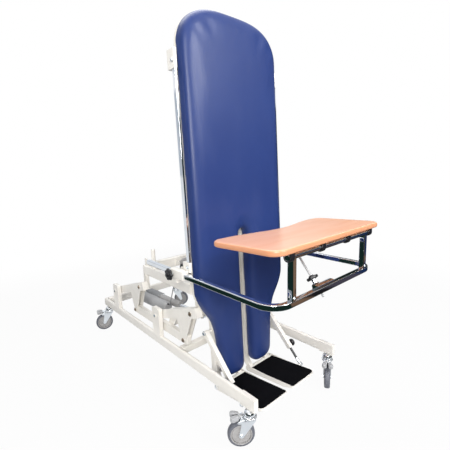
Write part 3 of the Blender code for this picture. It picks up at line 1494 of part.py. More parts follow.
def workstation_posts(look, root):
    """Two uprights on the front bar and the cross tube that the tray turns on."""
    bottom = BAR_TOP + GAP
    back = BAR_FRONT + BAR_SIZE
    tube_y, tube_z = TRAY_TUBE_Y, TRAY_TUBE_Z
    joined = [
        bar(
            (-TRAY_TUBE_HALF, tube_y, tube_z),
            (TRAY_TUBE_HALF, tube_y, tube_z),
            TRAY_TUBE_RADIUS,
            ROUND_PLAIN,
        ),
    ]
    for side in (-1, 1):
        low = (back - UPRIGHT_DEPTH, bottom)
        high = (back, tube_z)
        joined.append(
            mirrored_box(
                side, UPRIGHT_X - UPRIGHT_WIDTH / 2, UPRIGHT_X + UPRIGHT_WIDTH / 2, low, high, 0.004, "Z"
            ),
        )
    return piece("workstation_posts", look, root, joined)


def tray_outline():
    """Tray seen from above, (x, y) from the tube: straight front, rounded corners, hollowed user edge."""
    front = -TRAY_FRONT_REACH
    corner = TRAY_FRONT_CORNER
    half = TRAY_HALF_WIDTH
    right = arc((half - corner, front + corner), corner, 270, 360, 5)
    horn = (half - TRAY_REAR_CORNER, TRAY_HORN_REACH - TRAY_REAR_CORNER)
    right += arc(horn, TRAY_REAR_CORNER, 0, 90, 5)
    steps = 6
    depth = TRAY_HORN_REACH - TRAY_MIDDLE_REACH
    for i in range(steps + 1):
        x = TRAY_HORN_X * (1 - i / steps)
        rise = 0.5 - 0.5 * math.cos(math.pi * x / TRAY_HORN_X)
        right.append((x, TRAY_MIDDLE_REACH + depth * rise))
    left = [(-x, y) for x, y in reversed(right[:-1])]
    return right + left


def tray_top(look, holder):
    """Wooden top with rounded edges, and under it the four saddle clips and the ears of the prop."""
    outline = tray_outline()
    top = TRAY_TOP_RISE
    bottom = top - TRAY_THICKNESS
    layers = []
    for turn in (0, 45, 90):
        drawn = TRAY_EDGE * (1 - math.sin(math.radians(turn)))
        drop = TRAY_EDGE * (1 - math.cos(math.radians(turn)))
        layers.append((bottom + drop, drawn))
    layers += [(top + bottom - z, drawn) for z, drawn in reversed(layers)]
    rings = []
    for z, drawn in layers:
        ring = inset(outline, drawn) if drawn > 1e-6 else outline
        rings.append([(x, y, z) for x, y in ring])
    joined = [loft(rings)]
    outer = TRAY_TUBE_RADIUS + CLIP_WALL
    for x in (-CLIP_OUTER_X, -CLIP_INNER_X, CLIP_INNER_X, CLIP_OUTER_X):
        saddle = [(outer, 0), (outer, bottom + 0.002), (-outer, bottom + 0.002)]
        saddle += arc((0, 0), outer, 180, 360, 10)[:-1]
        joined.append(prism("X", saddle, x - CLIP_WIDTH / 2, x + CLIP_WIDTH / 2))
    for side in (-1, 1):
        near = PROP_X + side * (PROP_ROD_RADIUS + SIDE_PLAY)
        bosses = [((PROP_PIN_REACH, PROP_PIN_RISE), 0.008)]
        bosses += [((PROP_PIN_REACH + offset, bottom + 0.002), 0.003) for offset in (-0.010, 0.010)]
        ear = hull_of_circles(bosses, ROUND_SMALL)
        joined.append(prism("X", ear, near, near + side * 0.003))
    half_pin = PROP_ROD_RADIUS + SIDE_PLAY + 0.005
    joined.append(
        bar(
            (PROP_X - half_pin, PROP_PIN_REACH, PROP_PIN_RISE),
            (PROP_X + half_pin, PROP_PIN_REACH, PROP_PIN_RISE),
            PROP_PIN_RADIUS,
            ROUND_SMALL,
        ),
    )
    hole = bore((-0.5, 0, 0), (0.5, 0, 0), TRAY_TUBE_RADIUS, GAP)
    return piece("tray_top", look, holder, joined, [hole])


def prop_line():
    """World place of the prop's pin, and the rod's length and angle to the clamp, at rest."""
    y = TRAY_TUBE_Y + PROP_PIN_REACH * math.cos(TRAY_TIP) + PROP_PIN_RISE * math.sin(TRAY_TIP)
    z = TRAY_TUBE_Z - PROP_PIN_REACH * math.sin(TRAY_TIP) + PROP_PIN_RISE * math.cos(TRAY_TIP)
    return y, z, math.hypot(y - CLAMP_Y, z - CLAMP_Z), math.atan2(y - CLAMP_Y, z - CLAMP_Z)


def prop_rod(look, holder):
    """Rod from its eye at the origin down along -Z."""
    rod = bar(
        (PROP_X, 0, -0.5 * PROP_EYE_RADIUS), (PROP_X, 0, -PROP_ROD_LENGTH), PROP_ROD_RADIUS, ROUND_PLAIN
    )
    eye = prism(
        "X",
        circle((0, 0), PROP_EYE_RADIUS, ROUND_PLAIN),
        PROP_X - 0.8 * PROP_ROD_RADIUS,
        PROP_X + 0.8 * PROP_ROD_RADIUS,
    )
    hole = bore((PROP_X - 0.02, 0, 0), (PROP_X + 0.02, 0, 0), PROP_PIN_RADIUS, PIN_PLAY)
    return piece("tray_prop_rod", look, holder, [eye, rod], [hole])


def prop_guide(look, holder):
    """Swivelling barrel on the clamp block that the rod slides through, with the collar for its knob."""
    half = 0.014
    barrel = bar((PROP_X - half, 0, 0), (PROP_X + half, 0, 0), CLAMP_RADIUS, ROUND_PLAIN)
    collar = bar((PROP_X, 0, 0), (PROP_X, 0, CLAMP_COLLAR), 0.009, ROUND_PLAIN)
    trunnion = bar((PROP_X - half - 0.008, 0, 0), (PROP_X + half + 0.008, 0, 0), 0.005, ROUND_SMALL)
    hole = bore((PROP_X, 0, -0.05), (PROP_X, 0, 0.06), PROP_ROD_RADIUS, PROP_PLAY)
    return piece("tray_prop_guide", look, holder, [barrel, collar, trunnion], [hole])


def prop_knob(look, holder):
    """Star knob round the rod, above the guide's collar."""
    outline = []
    steps = STAR_LOBES * 4
    for i in range(steps):
        turn = 2 * math.pi * i / steps
        radius = 0.88 * STAR_RADIUS - STAR_LOBE_DEPTH * (0.5 - 0.5 * math.cos(STAR_LOBES * turn))
        outline.append((radius * math.cos(turn), radius * math.sin(turn)))
    thin = inset(outline, 0.002)
    bottom = CLAMP_COLLAR + GAP
    layers = [(bottom, thin), (bottom + 0.002, outline), (bottom + 0.010, outline), (bottom + 0.012, thin)]
    star = loft([[(a + PROP_X, b, z) for a, b in ring] for z, ring in layers])
    hub = bar((PROP_X, 0, bottom + 0.010), (PROP_X, 0, bottom + 0.018), 0.012, ROUND_PLAIN)
    hole = bore((PROP_X, 0, bottom - 0.02), (PROP_X, 0, bottom + 0.04), PROP_ROD_RADIUS, PROP_PLAY)
    return piece("tray_prop_knob", look, holder, [star, hub], [hole])


def clamp_block(look, root):
    """Chrome saddle over the front bar with two ears that hold the guide."""
    wall = CLAMP_BLOCK_WALL
    top = BAR_TOP + GAP
    rear = BAR_FRONT + BAR_SIZE
    joined = [
        box(
            (CLAMP_BLOCK_LEFT, BAR_FRONT + 0.002, top),
            (CLAMP_BLOCK_RIGHT, rear + wall, top + 2.2 * wall),
            0.003,
            "X",
        ),
    ]
    joined.append(
        box(
            (CLAMP_BLOCK_LEFT, rear + GAP, BAR_TOP - 0.8 * BAR_SIZE),
            (CLAMP_BLOCK_RIGHT, rear + wall, top + wall),
            0.001,
            "X",
        ),
    )
    for side in (-1, 1):
        near = PROP_X + side * (0.014 + 0.0008)
        ear = hull_of_circles(
            [
                ((CLAMP_Y, CLAMP_Z), 0.011),
                ((rear + 0.004, CLAMP_Z + 0.012), 0.003),
                ((rear + 0.004, CLAMP_Z - 0.012), 0.003),
            ],
        )
        joined.append(prism("X", ear, near, near + side * 0.006))
    hole = bore(
        (PROP_X - 0.05, CLAMP_Y, CLAMP_Z), (PROP_X + 0.05, CLAMP_Y, CLAMP_Z), 0.005, PIN_PLAY, ROUND_SMALL
    )
    return piece("tray_clamp_block", look, root, joined, [hole])


def make_workstation(looks, root):
    workstation_bar(looks["chrome"], root)
    workstation_posts(looks["chrome"], root)
    tray_axis = pivot("tray_axis", root, (0, TRAY_TUBE_Y, TRAY_TUBE_Z), turn_x=-TRAY_TIP)
    tray_top(looks["beech"], tray_axis)
    pin_y, pin_z, length, slant = prop_line()
    rod_axis = pivot("prop_rod_axis", root, (0, pin_y, pin_z), turn_x=-slant)
    prop_rod(looks["grey"], rod_axis)
    guide_axis = pivot("prop_guide_axis", root, (0, CLAMP_Y, CLAMP_Z), turn_x=-slant)
    prop_guide(looks["chrome"], guide_axis)
    prop_knob(looks["black"], guide_axis)
    clamp_block(looks["chrome"], root)


# Actuators, each drawn from its rear pin with the rod along -Y

def lift_actuator_line():
    run = LIFT_ACTUATOR_Y - (LIFT_PIVOT_Y + LEVER_PIN_Y)
    rise = LIFT_PIVOT_Z + LEVER_PIN_Z - LIFT_ACTUATOR_Z
    return math.hypot(run, rise), math.atan2(rise, run)


def lift_actuator_body(look, holder):
    """Rear eye, gear housing, spindle tube and the motor beside them."""
    joined = [
        prism(
            "X",
            hull_of_circles([((0, 0), ACTUATOR_EYE_RADIUS), ((-HOUSING_START, 0), 0.018)]),
            -ACTUATOR_EYE_RADIUS,
            ACTUATOR_EYE_RADIUS,
        ),
        box(
            (MOTOR_X - 0.012, -HOUSING_END, -HOUSING_HALF_HEIGHT),
            (HOUSING_HALF_WIDTH, -HOUSING_START, HOUSING_HALF_HEIGHT),
            0.016,
            "Y",
        ),
        bar((0, -HOUSING_END + 0.02, 0), (0, -LIFT_BODY_END, 0), LIFT_TUBE_RADIUS, ROUND_FINE),
        turned(
            (MOTOR_X, -MOTOR_START, 0),
            (0, -1, 0),
            [
                (0, 0.85 * MOTOR_RADIUS),
                (0.012, MOTOR_RADIUS),
                (MOTOR_END - MOTOR_START - 0.015, MOTOR_RADIUS),
                (MOTOR_END - MOTOR_START, 0.8 * MOTOR_RADIUS),
            ],
            ROUND_FINE,
        ),
    ]
    cuts = [
        bore((-0.03, 0, 0), (0.03, 0, 0), ACTUATOR_PIN_RADIUS, PIN_PLAY),
        bore((0, -LIFT_BODY_END - 0.02, 0), (0, -LIFT_ROD_BORE, 0), LIFT_ROD_RADIUS, PIN_PLAY, ROUND_FINE),
    ]
    return piece("lift_actuator_body", look, holder, joined, cuts)


def lift_actuator_rod(look, holder, length):
    eye_radius = ACTUATOR_PIN_RADIUS + LIFT_ROD_PLAY + 0.005
    rod = bar(
        (0, -LIFT_BODY_END + LIFT_ROD_OVERLAP, 0),
        (0, -length + 0.7 * eye_radius, 0),
        LIFT_ROD_RADIUS,
        ROUND_FINE,
    )
    eye = prism(
        "X",
        circle((-length, 0), eye_radius, ROUND_PLAIN),
        -LEVER_HALF_GAP + SIDE_PLAY,
        LEVER_HALF_GAP - SIDE_PLAY,
    )
    hole = bore((-0.03, -length, 0), (0.03, -length, 0), ACTUATOR_PIN_RADIUS, LIFT_ROD_PLAY)
    return piece("lift_actuator_rod", look, holder, [rod, eye], [hole])


def tilt_actuator_line():
    tip_y = HINGE_Y
    tip_z = HINGE_Z + TILT_LEVER_LENGTH
    run = TILT_ACTUATOR_Y - tip_y
    rise = tip_z - TILT_ACTUATOR_Z
    return math.hypot(run, rise), math.atan2(rise, run)


def tilt_actuator_body(look, holder):
    """Rear eye, spindle tube and the motor hanging from its gear case."""
    at = TILT_MOTOR_AT
    joined = [
        bar((0, -0.028, 0), (0, -TILT_BODY_END, 0), TILT_TUBE_RADIUS, ROUND_FINE),
        prism(
            "X",
            hull_of_circles([((0, 0), ACTUATOR_EYE_RADIUS), ((-0.035, 0), 0.016)]),
            -ACTUATOR_EYE_RADIUS,
            ACTUATOR_EYE_RADIUS,
        ),
        box((-0.027, -at - 0.035, -0.045), (0.027, -at + 0.035, 0.026), 0.012, "Y"),
        turned(
            (0, -at, -0.035),
            (0, -0.25, -1),
            [
                (0, 0.85 * TILT_MOTOR_RADIUS),
                (0.02, TILT_MOTOR_RADIUS),
                (TILT_MOTOR_DROP - 0.055, TILT_MOTOR_RADIUS),
                (TILT_MOTOR_DROP - 0.045, 0.86 * TILT_MOTOR_RADIUS),
            ],
            ROUND_FINE,
        ),
    ]
    cuts = [
        bore((-0.03, 0, 0), (0.03, 0, 0), ACTUATOR_PIN_RADIUS, PIN_PLAY),
        bore(
            (0, -TILT_BODY_END - 0.02, 0), (0, -TILT_BODY_END + TILT_ROD_BORE, 0), TILT_ROD_RADIUS, PIN_PLAY
        ),
    ]
    return piece("tilt_actuator_body", look, holder, joined, cuts)


def tilt_actuator_rod(look, holder, length):
    eye_radius = ACTUATOR_PIN_RADIUS + TILT_ROD_PLAY + 0.005
    rod = bar(
        (0, -TILT_BODY_END + TILT_ROD_OVERLAP, 0),
        (0, -length + 0.7 * eye_radius, 0),
        TILT_ROD_RADIUS,
        ROUND_PLAIN,
    )
    eye = prism(
        "X",
        circle((-length, 0), eye_radius, ROUND_PLAIN),
        -LEVER_HALF_GAP + SIDE_PLAY,
        LEVER_HALF_GAP - SIDE_PLAY,
    )
    hole = bore((-0.03, -length, 0), (0.03, -length, 0), ACTUATOR_PIN_RADIUS, TILT_ROD_PLAY)
    return piece("tilt_actuator_rod", look, holder, [rod, eye], [hole])


def make_actuators(looks, root):
    length, rise = lift_actuator_line()
    lift = pivot("lift_actuator_axis", root, (0, LIFT_ACTUATOR_Y, LIFT_ACTUATOR_Z), turn_x=-rise)
    lift_actuator_body(looks["housing"], lift)
    lift_actuator_rod(looks["zinc"], lift, length)
    length, rise = tilt_actuator_line()
    tilt = pivot("tilt_actuator_axis", root, (0, TILT_ACTUATOR_Y, TILT_ACTUATOR_Z), turn_x=-rise)
    tilt_actuator_body(looks["housing"], tilt)
    tilt_actuator_rod(looks["zinc"], tilt, length)


CABLE_ROUTE = (
    (-0.062, 1.1207, 0.2674),
    (-0.062, 1.1128, 0.2678),
    (-0.062, 1.1028, 0.2682),
    (-0.078, 1.060, 0.292),
    (-0.094, 1.020, 0.343),
    (-0.100, 0.990, 0.398),
    (-0.100, 0.968, 0.448),
    (-0.080, 0.948, 0.505),
    (-0.040, 0.928, 0.552),
    (-0.008, 0.9232, 0.580),
    (0.000, 0.9271, 0.5931),
    (0.000, 0.9315, 0.6031),
)


def actuator_cable(look, root):
    """Cable from the lift motor up to the tilt actuator."""
    points = smooth_through(CABLE_ROUTE, 3)
    curve = bpy.data.curves.new("actuator_cable", "CURVE")
    curve.dimensions = "3D"
    line = curve.splines.new("POLY")
    line.points.add(len(points) - 1)
    for slot, point in zip(line.points, points):
        slot.co = (*point, 1.0)
    curve.bevel_depth = CABLE_RADIUS
    curve.bevel_resolution = 2
    curve.use_fill_caps = True
    curve.materials.append(look)
    made = bpy.data.objects.new("actuator_cable", curve)
    bpy.context.scene.collection.objects.link(made)
    made.parent = root
    return made


def centre_on_floor(root):
    """Moves the table so that the middle of its footprint is at the origin."""
    bpy.context.view_layer.update()
    reaches = []
    for made in bpy.data.objects:
        if made.type != "EMPTY":
            reaches += [(made.matrix_world @ Vector(corner)).y for corner in mesh_points(made)]
    root.location.y -= (min(reaches) + max(reaches)) / 2
    bpy.context.view_layer.update()


def mesh_points(made):
    if made.type == "MESH":
        return [point.co for point in made.data.vertices]
    return made.bound_box


def main():
    clear_scene()
    looks = make_materials()
    root = pivot("tilt_table", None, (0, 0, 0))
    make_base(looks, root)
    make_castors(looks, root)
    make_lift_linkage(looks, root)
    make_lifting_frame(looks, root)
    board = pivot("board_axis", root, (0, HINGE_Y, HINGE_Z), turn_x=-BOARD_LEAN)
    make_board(looks, board)
    make_footplates(looks, board)
    make_workstation(looks, root)
    make_actuators(looks, root)
    actuator_cable(looks["cable"], root)
    centre_on_floor(root)


main()
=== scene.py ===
import json
import math

import bmesh
import bpy
from mathutils import Matrix, Vector

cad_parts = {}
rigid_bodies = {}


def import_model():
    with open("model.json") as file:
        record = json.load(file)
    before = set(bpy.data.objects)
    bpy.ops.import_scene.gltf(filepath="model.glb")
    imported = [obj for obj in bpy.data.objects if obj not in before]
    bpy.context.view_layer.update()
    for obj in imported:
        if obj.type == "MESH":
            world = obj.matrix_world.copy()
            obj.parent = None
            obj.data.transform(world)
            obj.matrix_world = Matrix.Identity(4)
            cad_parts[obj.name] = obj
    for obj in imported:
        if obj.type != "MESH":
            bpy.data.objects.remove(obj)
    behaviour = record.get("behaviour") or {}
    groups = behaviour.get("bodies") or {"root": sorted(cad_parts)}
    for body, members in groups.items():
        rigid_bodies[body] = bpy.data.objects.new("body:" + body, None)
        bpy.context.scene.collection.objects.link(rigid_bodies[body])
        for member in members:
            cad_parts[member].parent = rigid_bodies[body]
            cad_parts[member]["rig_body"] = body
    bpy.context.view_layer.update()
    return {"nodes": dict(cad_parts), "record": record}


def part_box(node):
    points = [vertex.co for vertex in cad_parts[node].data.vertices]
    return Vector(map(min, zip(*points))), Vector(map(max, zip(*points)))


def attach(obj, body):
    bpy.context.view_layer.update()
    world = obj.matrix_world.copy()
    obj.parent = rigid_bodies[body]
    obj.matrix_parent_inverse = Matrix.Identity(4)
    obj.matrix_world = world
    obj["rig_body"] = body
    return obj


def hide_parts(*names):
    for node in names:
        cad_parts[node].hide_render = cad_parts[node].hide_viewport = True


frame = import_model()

# Places, in metres, from the foot end of the base rails, as in the part's own drawing
RAIL_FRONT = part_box("base_rail_left")[0].y
BASE = Matrix.Translation((0, RAIL_FRONT, 0))

# Board, footplates and their struts
HINGE_Y, HINGE_Z = 0.500, 0.735
BOARD_LEAN = math.radians(2.283)
BOARD = BASE @ Matrix.Translation((0, HINGE_Y, HINGE_Z)) @ Matrix.Rotation(-BOARD_LEAN, 4, "X")
FOOT_HINGE = (-0.0828, -0.6839)
FOOT_SLOPE = math.radians(5.317)
FOOT = BOARD @ Matrix.Translation((0, *FOOT_HINGE)) @ Matrix.Rotation(-FOOT_SLOPE, 4, "X")
STRUT_TOP = (-0.0452, -0.3721)
STRUT_X = 0.240
STRUT_FOOT = (0.2243, 0.0023)
FOOT_INNER, FOOT_OUTER, FOOT_TOE = 0.022, 0.222, -0.338
TOE_INSIDE, TOE_OUTSIDE = 0.014, 0.030
RIB_COUNT, RIB_FIRST, RIB_STEP = 76, -0.0315, 0.0039

# Workstation, tray and the tray's prop
TRAY_TUBE = (-0.165, 0.917)
TRAY_TIP = math.radians(2.5)
TRAY = BASE @ Matrix.Translation((0, *TRAY_TUBE)) @ Matrix.Rotation(-TRAY_TIP, 4, "X")
TRAY_TOP, TRAY_UNDER = 0.041, 0.016
PROP_X = -0.050
PROP_PIN = (0.200, 0.004)
CLAMP = (-0.118, 0.728)
BAR_X, BAR_Z = 0.3765, 0.7275
BAR_HALF = 0.0125
BAR_FRONT, BAR_END = -0.170, 0.770
BAR_STRETCH = 0.780
SOCKET_WALL = 0.031
UPRIGHT_X = 0.280

# Lift and tilt: pivots and pins as (y, z), the link and frame pins from the crank's pivot
LIFT_PIVOT = (0.825, 0.367)
CRANK_SPACING = 0.580
LINK_PIN = (-0.250, -0.075)
FRAME_PIN = (-0.330, 0.108)
LEVER_PIN = (LIFT_PIVOT[0] - 0.055, LIFT_PIVOT[1] - 0.095)
LIFT_BACK = (1.550, 0.235)
TILT_PIN = (HINGE_Y, HINGE_Z + 0.080)
TILT_BACK = (1.015, 0.590)
MOTOR_X, MOTOR_DROP = -0.062, -0.018

# Castors: name, place and the heading in which the wheel trails
WHEEL_RADIUS = 0.0625
TRAIL = 0.042
PEDAL_PIVOT = (0.038, 0.148)
PEDAL_TIP = 0.0915
FORK_GAP, FORK_SHEET = 0.018, 0.0035
CASTORS = (
    ("front_left", -0.3175, 0.040, 143),
    ("front_right", 0.3175, 0.040, 213),
    ("rear_left", -0.3175, 1.600, 164),
    ("rear_right", 0.3175, 1.600, -43),
)
SIDES = (("left", -1), ("right", 1))

# For shapes that are drawn along Z: ACROSS lays them along X, LAID lays them along -Y
ACROSS = Matrix(((0, 0, 1, 0), (1, 0, 0, 0), (0, 1, 0, 0), (0, 0, 0, 1)))
LAID = Matrix(((1, 0, 0, 0), (0, 0, -1, 0), (0, 1, 0, 0), (0, 0, 0, 1)))

# The camera as it was solved from the photo: degrees of yaw, pitch and roll
CAMERA_TURNS = (41.36, 10.09, 1.777)
CAMERA_PLACE = (-1.244, -0.883, 1.250)
CAMERA_LENS = 26.344


def strut_line():
    """Length of a strut and its turn about X, in the board's directions."""
    reach, rise = STRUT_FOOT
    y = FOOT_HINGE[0] - reach * math.cos(FOOT_SLOPE) + rise * math.sin(FOOT_SLOPE)
    z = FOOT_HINGE[1] + reach * math.sin(FOOT_SLOPE) + rise * math.cos(FOOT_SLOPE)
    run, drop = y - STRUT_TOP[0], z - STRUT_TOP[1]
    return math.hypot(run, drop), math.atan2(run, -drop)


STRUT_LENGTH, STRUT_TURN = strut_line()
STRUT = BOARD @ Matrix.Translation((0, *STRUT_TOP)) @ Matrix.Rotation(STRUT_TURN, 4, "X")


def prop_line():
    """Place of the prop's pin and the turn of its rod."""
    y = TRAY_TUBE[0] + PROP_PIN[0] * math.cos(TRAY_TIP) + PROP_PIN[1] * math.sin(TRAY_TIP)
    z = TRAY_TUBE[1] - PROP_PIN[0] * math.sin(TRAY_TIP) + PROP_PIN[1] * math.cos(TRAY_TIP)
    return y, z, math.atan2(y - CLAMP[0], z - CLAMP[1])


PROP_Y, PROP_Z, PROP_TURN = prop_line()
PROP = BASE @ Matrix.Translation((PROP_X, PROP_Y, PROP_Z)) @ Matrix.Rotation(-PROP_TURN, 4, "X")
GUIDE = BASE @ Matrix.Translation((PROP_X, *CLAMP)) @ Matrix.Rotation(-PROP_TURN, 4, "X")


def actuator_line(back, pin):
    """An actuator's length from its rear eye to its rod's pin, and its place."""
    run, rise = back[0] - pin[0], pin[1] - back[1]
    turn = Matrix.Rotation(-math.atan2(rise, run), 4, "X")
    return math.hypot(run, rise), BASE @ Matrix.Translation((0, *back)) @ turn


LIFT_LENGTH, LIFT = actuator_line(LIFT_BACK, LEVER_PIN)
TILT_LENGTH, TILT = actuator_line(TILT_BACK, TILT_PIN)


def castor_place(x, y, heading):
    """The floor under a castor's swivel axis, turned to where its wheel trails."""
    return BASE @ Matrix.Translation((x, y, 0)) @ Matrix.Rotation(math.radians(heading), 4, "Z")


def make_camera():
    """The photo's angle and perspective."""
    yaw, pitch, roll = (math.radians(degrees) for degrees in CAMERA_TURNS)
    ahead = Vector((math.cos(pitch) * math.sin(yaw), math.cos(pitch) * math.cos(yaw), -math.sin(pitch)))
    level = Vector((math.cos(yaw), -math.sin(yaw), 0))
    above = level.cross(ahead)
    right = level * math.cos(roll) - above * math.sin(roll)
    above = above * math.cos(roll) + level * math.sin(roll)
    data = bpy.data.cameras.new("camera")
    data.sensor_width = 36
    data.lens = CAMERA_LENS
    data.clip_start = 0.05
    camera = bpy.data.objects.new("camera", data)
    turn = Matrix((right, above, -ahead)).transposed().to_4x4()
    camera.matrix_world = Matrix.Translation(BASE @ Vector(CAMERA_PLACE)) @ turn
    bpy.context.scene.collection.objects.link(camera)
    bpy.context.scene.camera = camera


# Shader expressions and finishes

class Term:
    """A shader socket that takes part in Python expressions."""

    def __init__(self, look, socket):
        self.look = look
        self.socket = socket

    def math(self, operation, *others):
        return self.look.node("ShaderNodeMath", {"operation": operation}, [self, *others])

    def __add__(self, other):
        return self.math("ADD", other)

    def __radd__(self, other):
        return self.math("ADD", other)

    def __sub__(self, other):
        return self.math("SUBTRACT", other)

    def __rsub__(self, other):
        return self.look.node("ShaderNodeMath", {"operation": "SUBTRACT"}, [other, self])

    def __mul__(self, other):
        return self.math("MULTIPLY", other)

    def __rmul__(self, other):
        return self.math("MULTIPLY", other)

    def step(self, low, high):
        """0 below low, 1 above high and smooth between them."""
        settings = {"interpolation_type": "SMOOTHSTEP"}
        values = {"Value": self, "From Min": low, "From Max": high}
        return self.look.node("ShaderNodeMapRange", settings, values)

    def larger(self, other):
        return self.math("MAXIMUM", other)

    def magnitude(self):
        """The value without its sign."""
        return self.math("ABSOLUTE")


class Tones:
    """Builds shader nodes in one tree."""

    def __init__(self, tree, coordinates):
        self.tree = tree
        self.place = self.node("ShaderNodeTexCoord", {}, {}, coordinates)

    def node(self, kind, settings, values, output=0):
        made = self.tree.nodes.new(kind)
        for key, value in settings.items():
            setattr(made, key, value)
        pairs = values.items() if isinstance(values, dict) else enumerate(values)
        for key, value in pairs:
            self.feed(made.inputs[key], value)
        return Term(self, made.outputs[output])

    def feed(self, socket, value):
        """Links a term to a socket, or sets the socket to a plain value."""
        if isinstance(value, Term):
            self.tree.links.new(value.socket, socket)
        elif hasattr(socket.default_value, "__len__") and len(socket.default_value) == 4:
            socket.default_value = (*value[:3], 1.0)
        else:
            socket.default_value = value

    def stretch(self, scale):
        return self.node("ShaderNodeMapping", {}, {"Vector": self.place, "Scale": scale})

    def noise(self, scale, detail, vector=None, rough=0.5):
        values = {"Vector": vector or self.place, "Scale": scale, "Detail": detail, "Roughness": rough}
        return self.node("ShaderNodeTexNoise", {}, values)

    def cells(self, scale, feature="F1"):
        return self.node("ShaderNodeTexVoronoi", {"feature": feature}, {"Vector": self.place, "Scale": scale})

    def mix(self, factor, low, high):
        """Between two colours."""
        return self.node("ShaderNodeMix", {"data_type": "RGBA"}, {0: factor, 6: low, 7: high}, 2)

    def split(self, axis):
        """One coordinate of the place that is being shaded."""
        return self.node("ShaderNodeSeparateXYZ", {}, {"Vector": self.place}, axis)

    def ray(self, kind):
        """1 for rays of one kind, such as those from the camera."""
        return self.node("ShaderNodeLightPath", {}, {}, kind)


class Look(Tones):
    """One finish: a Principled material with expressions behind its sockets."""

    def __init__(self, name, rough=0.4, metallic=0.0, **uniform):
        self.material = bpy.data.materials.new(name)
        self.material.use_nodes = True
        super().__init__(self.material.node_tree, "Object")
        self.shader = self.tree.nodes["Principled BSDF"]
        self.shader.inputs["Roughness"].default_value = rough
        self.shader.inputs["Metallic"].default_value = metallic
        for key, value in uniform.items():
            self.shader.inputs[key.replace("_", " ").title().replace("Ior", "IOR")].default_value = value

    def set(self, colour, rough=None, bump=None, strength=0.2, distance=0.001):
        """Feeds the material's colour, roughness and bump, and gives the material back."""
        self.feed(self.shader.inputs["Base Color"], colour)
        if rough is not None:
            self.feed(self.shader.inputs["Roughness"], rough)
        if bump is not None:
            values = {"Height": bump, "Strength": strength, "Distance": distance}
            made = self.node("ShaderNodeBump", {}, values)
            self.tree.links.new(made.socket, self.shader.inputs["Normal"])
        return self.material


def scuffs(look, scale, low, high):
    """Sparse drawn-out marks, from 0 to 1."""
    drawn_out = look.noise(scale, 4, look.stretch((1, 0.22, 1))).step(low, high)
    return drawn_out * look.noise(scale * 9, 3).step(0.45, 0.7)


def painted_steel():
    look = Look("cream_powder_coat", coat_weight=0.15, coat_roughness=0.25)
    cloud = look.noise(5, 3)
    dust = look.noise(38, 4).step(0.35, 0.75)
    mark = scuffs(look, 26, 0.66, 0.78)
    base = look.mix(cloud, (0.800, 0.765, 0.705), (0.860, 0.835, 0.785))
    base = look.mix(dust * 0.10, base, (0.62, 0.58, 0.52))
    base = look.mix(mark * 0.30, base, (0.42, 0.40, 0.37))
    peel = look.noise(420, 2) + look.noise(1500, 2) * 0.4
    return look.set(base, cloud * 0.10 + dust * 0.06 + mark * 0.15 + 0.28, peel, 0.10, 0.0006)


def chrome():
    look = Look("polished_chrome", metallic=1.0)
    smear = look.noise(16, 4).step(0.42, 0.70)
    pit = look.noise(240, 3).step(0.68, 0.78)
    base = look.mix(smear * 0.35, (0.86, 0.88, 0.90), (0.74, 0.76, 0.78))
    base = look.mix(pit * 0.5, base, (0.42, 0.38, 0.34))
    return look.set(base, smear * 0.05 + pit * 0.20 + 0.03, look.noise(24, 2), 0.04, 0.002)


def zinc():
    look = Look("zinc_plate", metallic=1.0)
    spangle = look.cells(300)
    cloud = look.noise(60, 3)
    base = look.mix(cloud, (0.84, 0.88, 0.91), (0.92, 0.94, 0.95))
    base = look.mix(spangle * 0.20, base, (0.74, 0.79, 0.85))
    return look.set(base, cloud * 0.16 + 0.30, spangle + look.noise(900, 2) * 0.5, 0.06, 0.0006)


def passivated(name, dark, light, spread, rough):
    """Zinc plate with a coloured passivation."""
    look = Look(name, metallic=1.0)
    cloud = look.noise(130, 3)
    base = look.mix(cloud, dark, light)
    return look.set(base, cloud * spread + rough, look.noise(900, 2), 0.06, 0.0005)


def navy_vinyl():
    look = Look("navy_vinyl", specular_ior_level=0.36)
    cloud = look.noise(3.5, 3)
    cell = look.cells(520, "DISTANCE_TO_EDGE")
    crease = cell.step(0.0, 0.16)
    fine = look.noise(1400, 2)
    wipe = look.noise(9, 4, look.stretch((1, 1, 0.35))).step(0.45, 0.8)
    base = look.mix(cloud, (0.0150, 0.0330, 0.1400), (0.0200, 0.0440, 0.1720))
    # Painted shade: the grain's creases are coloured darker; the same creases also roughen and emboss the
    # skin.
    base = look.mix((1 - crease) * 0.40, base, (0.010, 0.018, 0.085))
    base = look.mix(wipe * 0.10, base, (0.050, 0.080, 0.220))
    rough = cloud * 0.05 + wipe * 0.06 + (1 - crease) * 0.1 + 0.31
    return look.set(base, rough, crease + fine * 0.3, 0.14, 0.0004)


def panel_laminate():
    look = Look("cream_laminate")
    cloud = look.noise(8, 3)
    grain = look.noise(300, 3, look.stretch((1, 1, 0.05)))
    base = look.mix(cloud, (0.74, 0.70, 0.63), (0.82, 0.79, 0.73))
    base = look.mix(grain.step(0.5, 0.8) * 0.2, base, (0.62, 0.56, 0.47))
    return look.set(base, grain * 0.15 + 0.38, grain, 0.08, 0.0004)


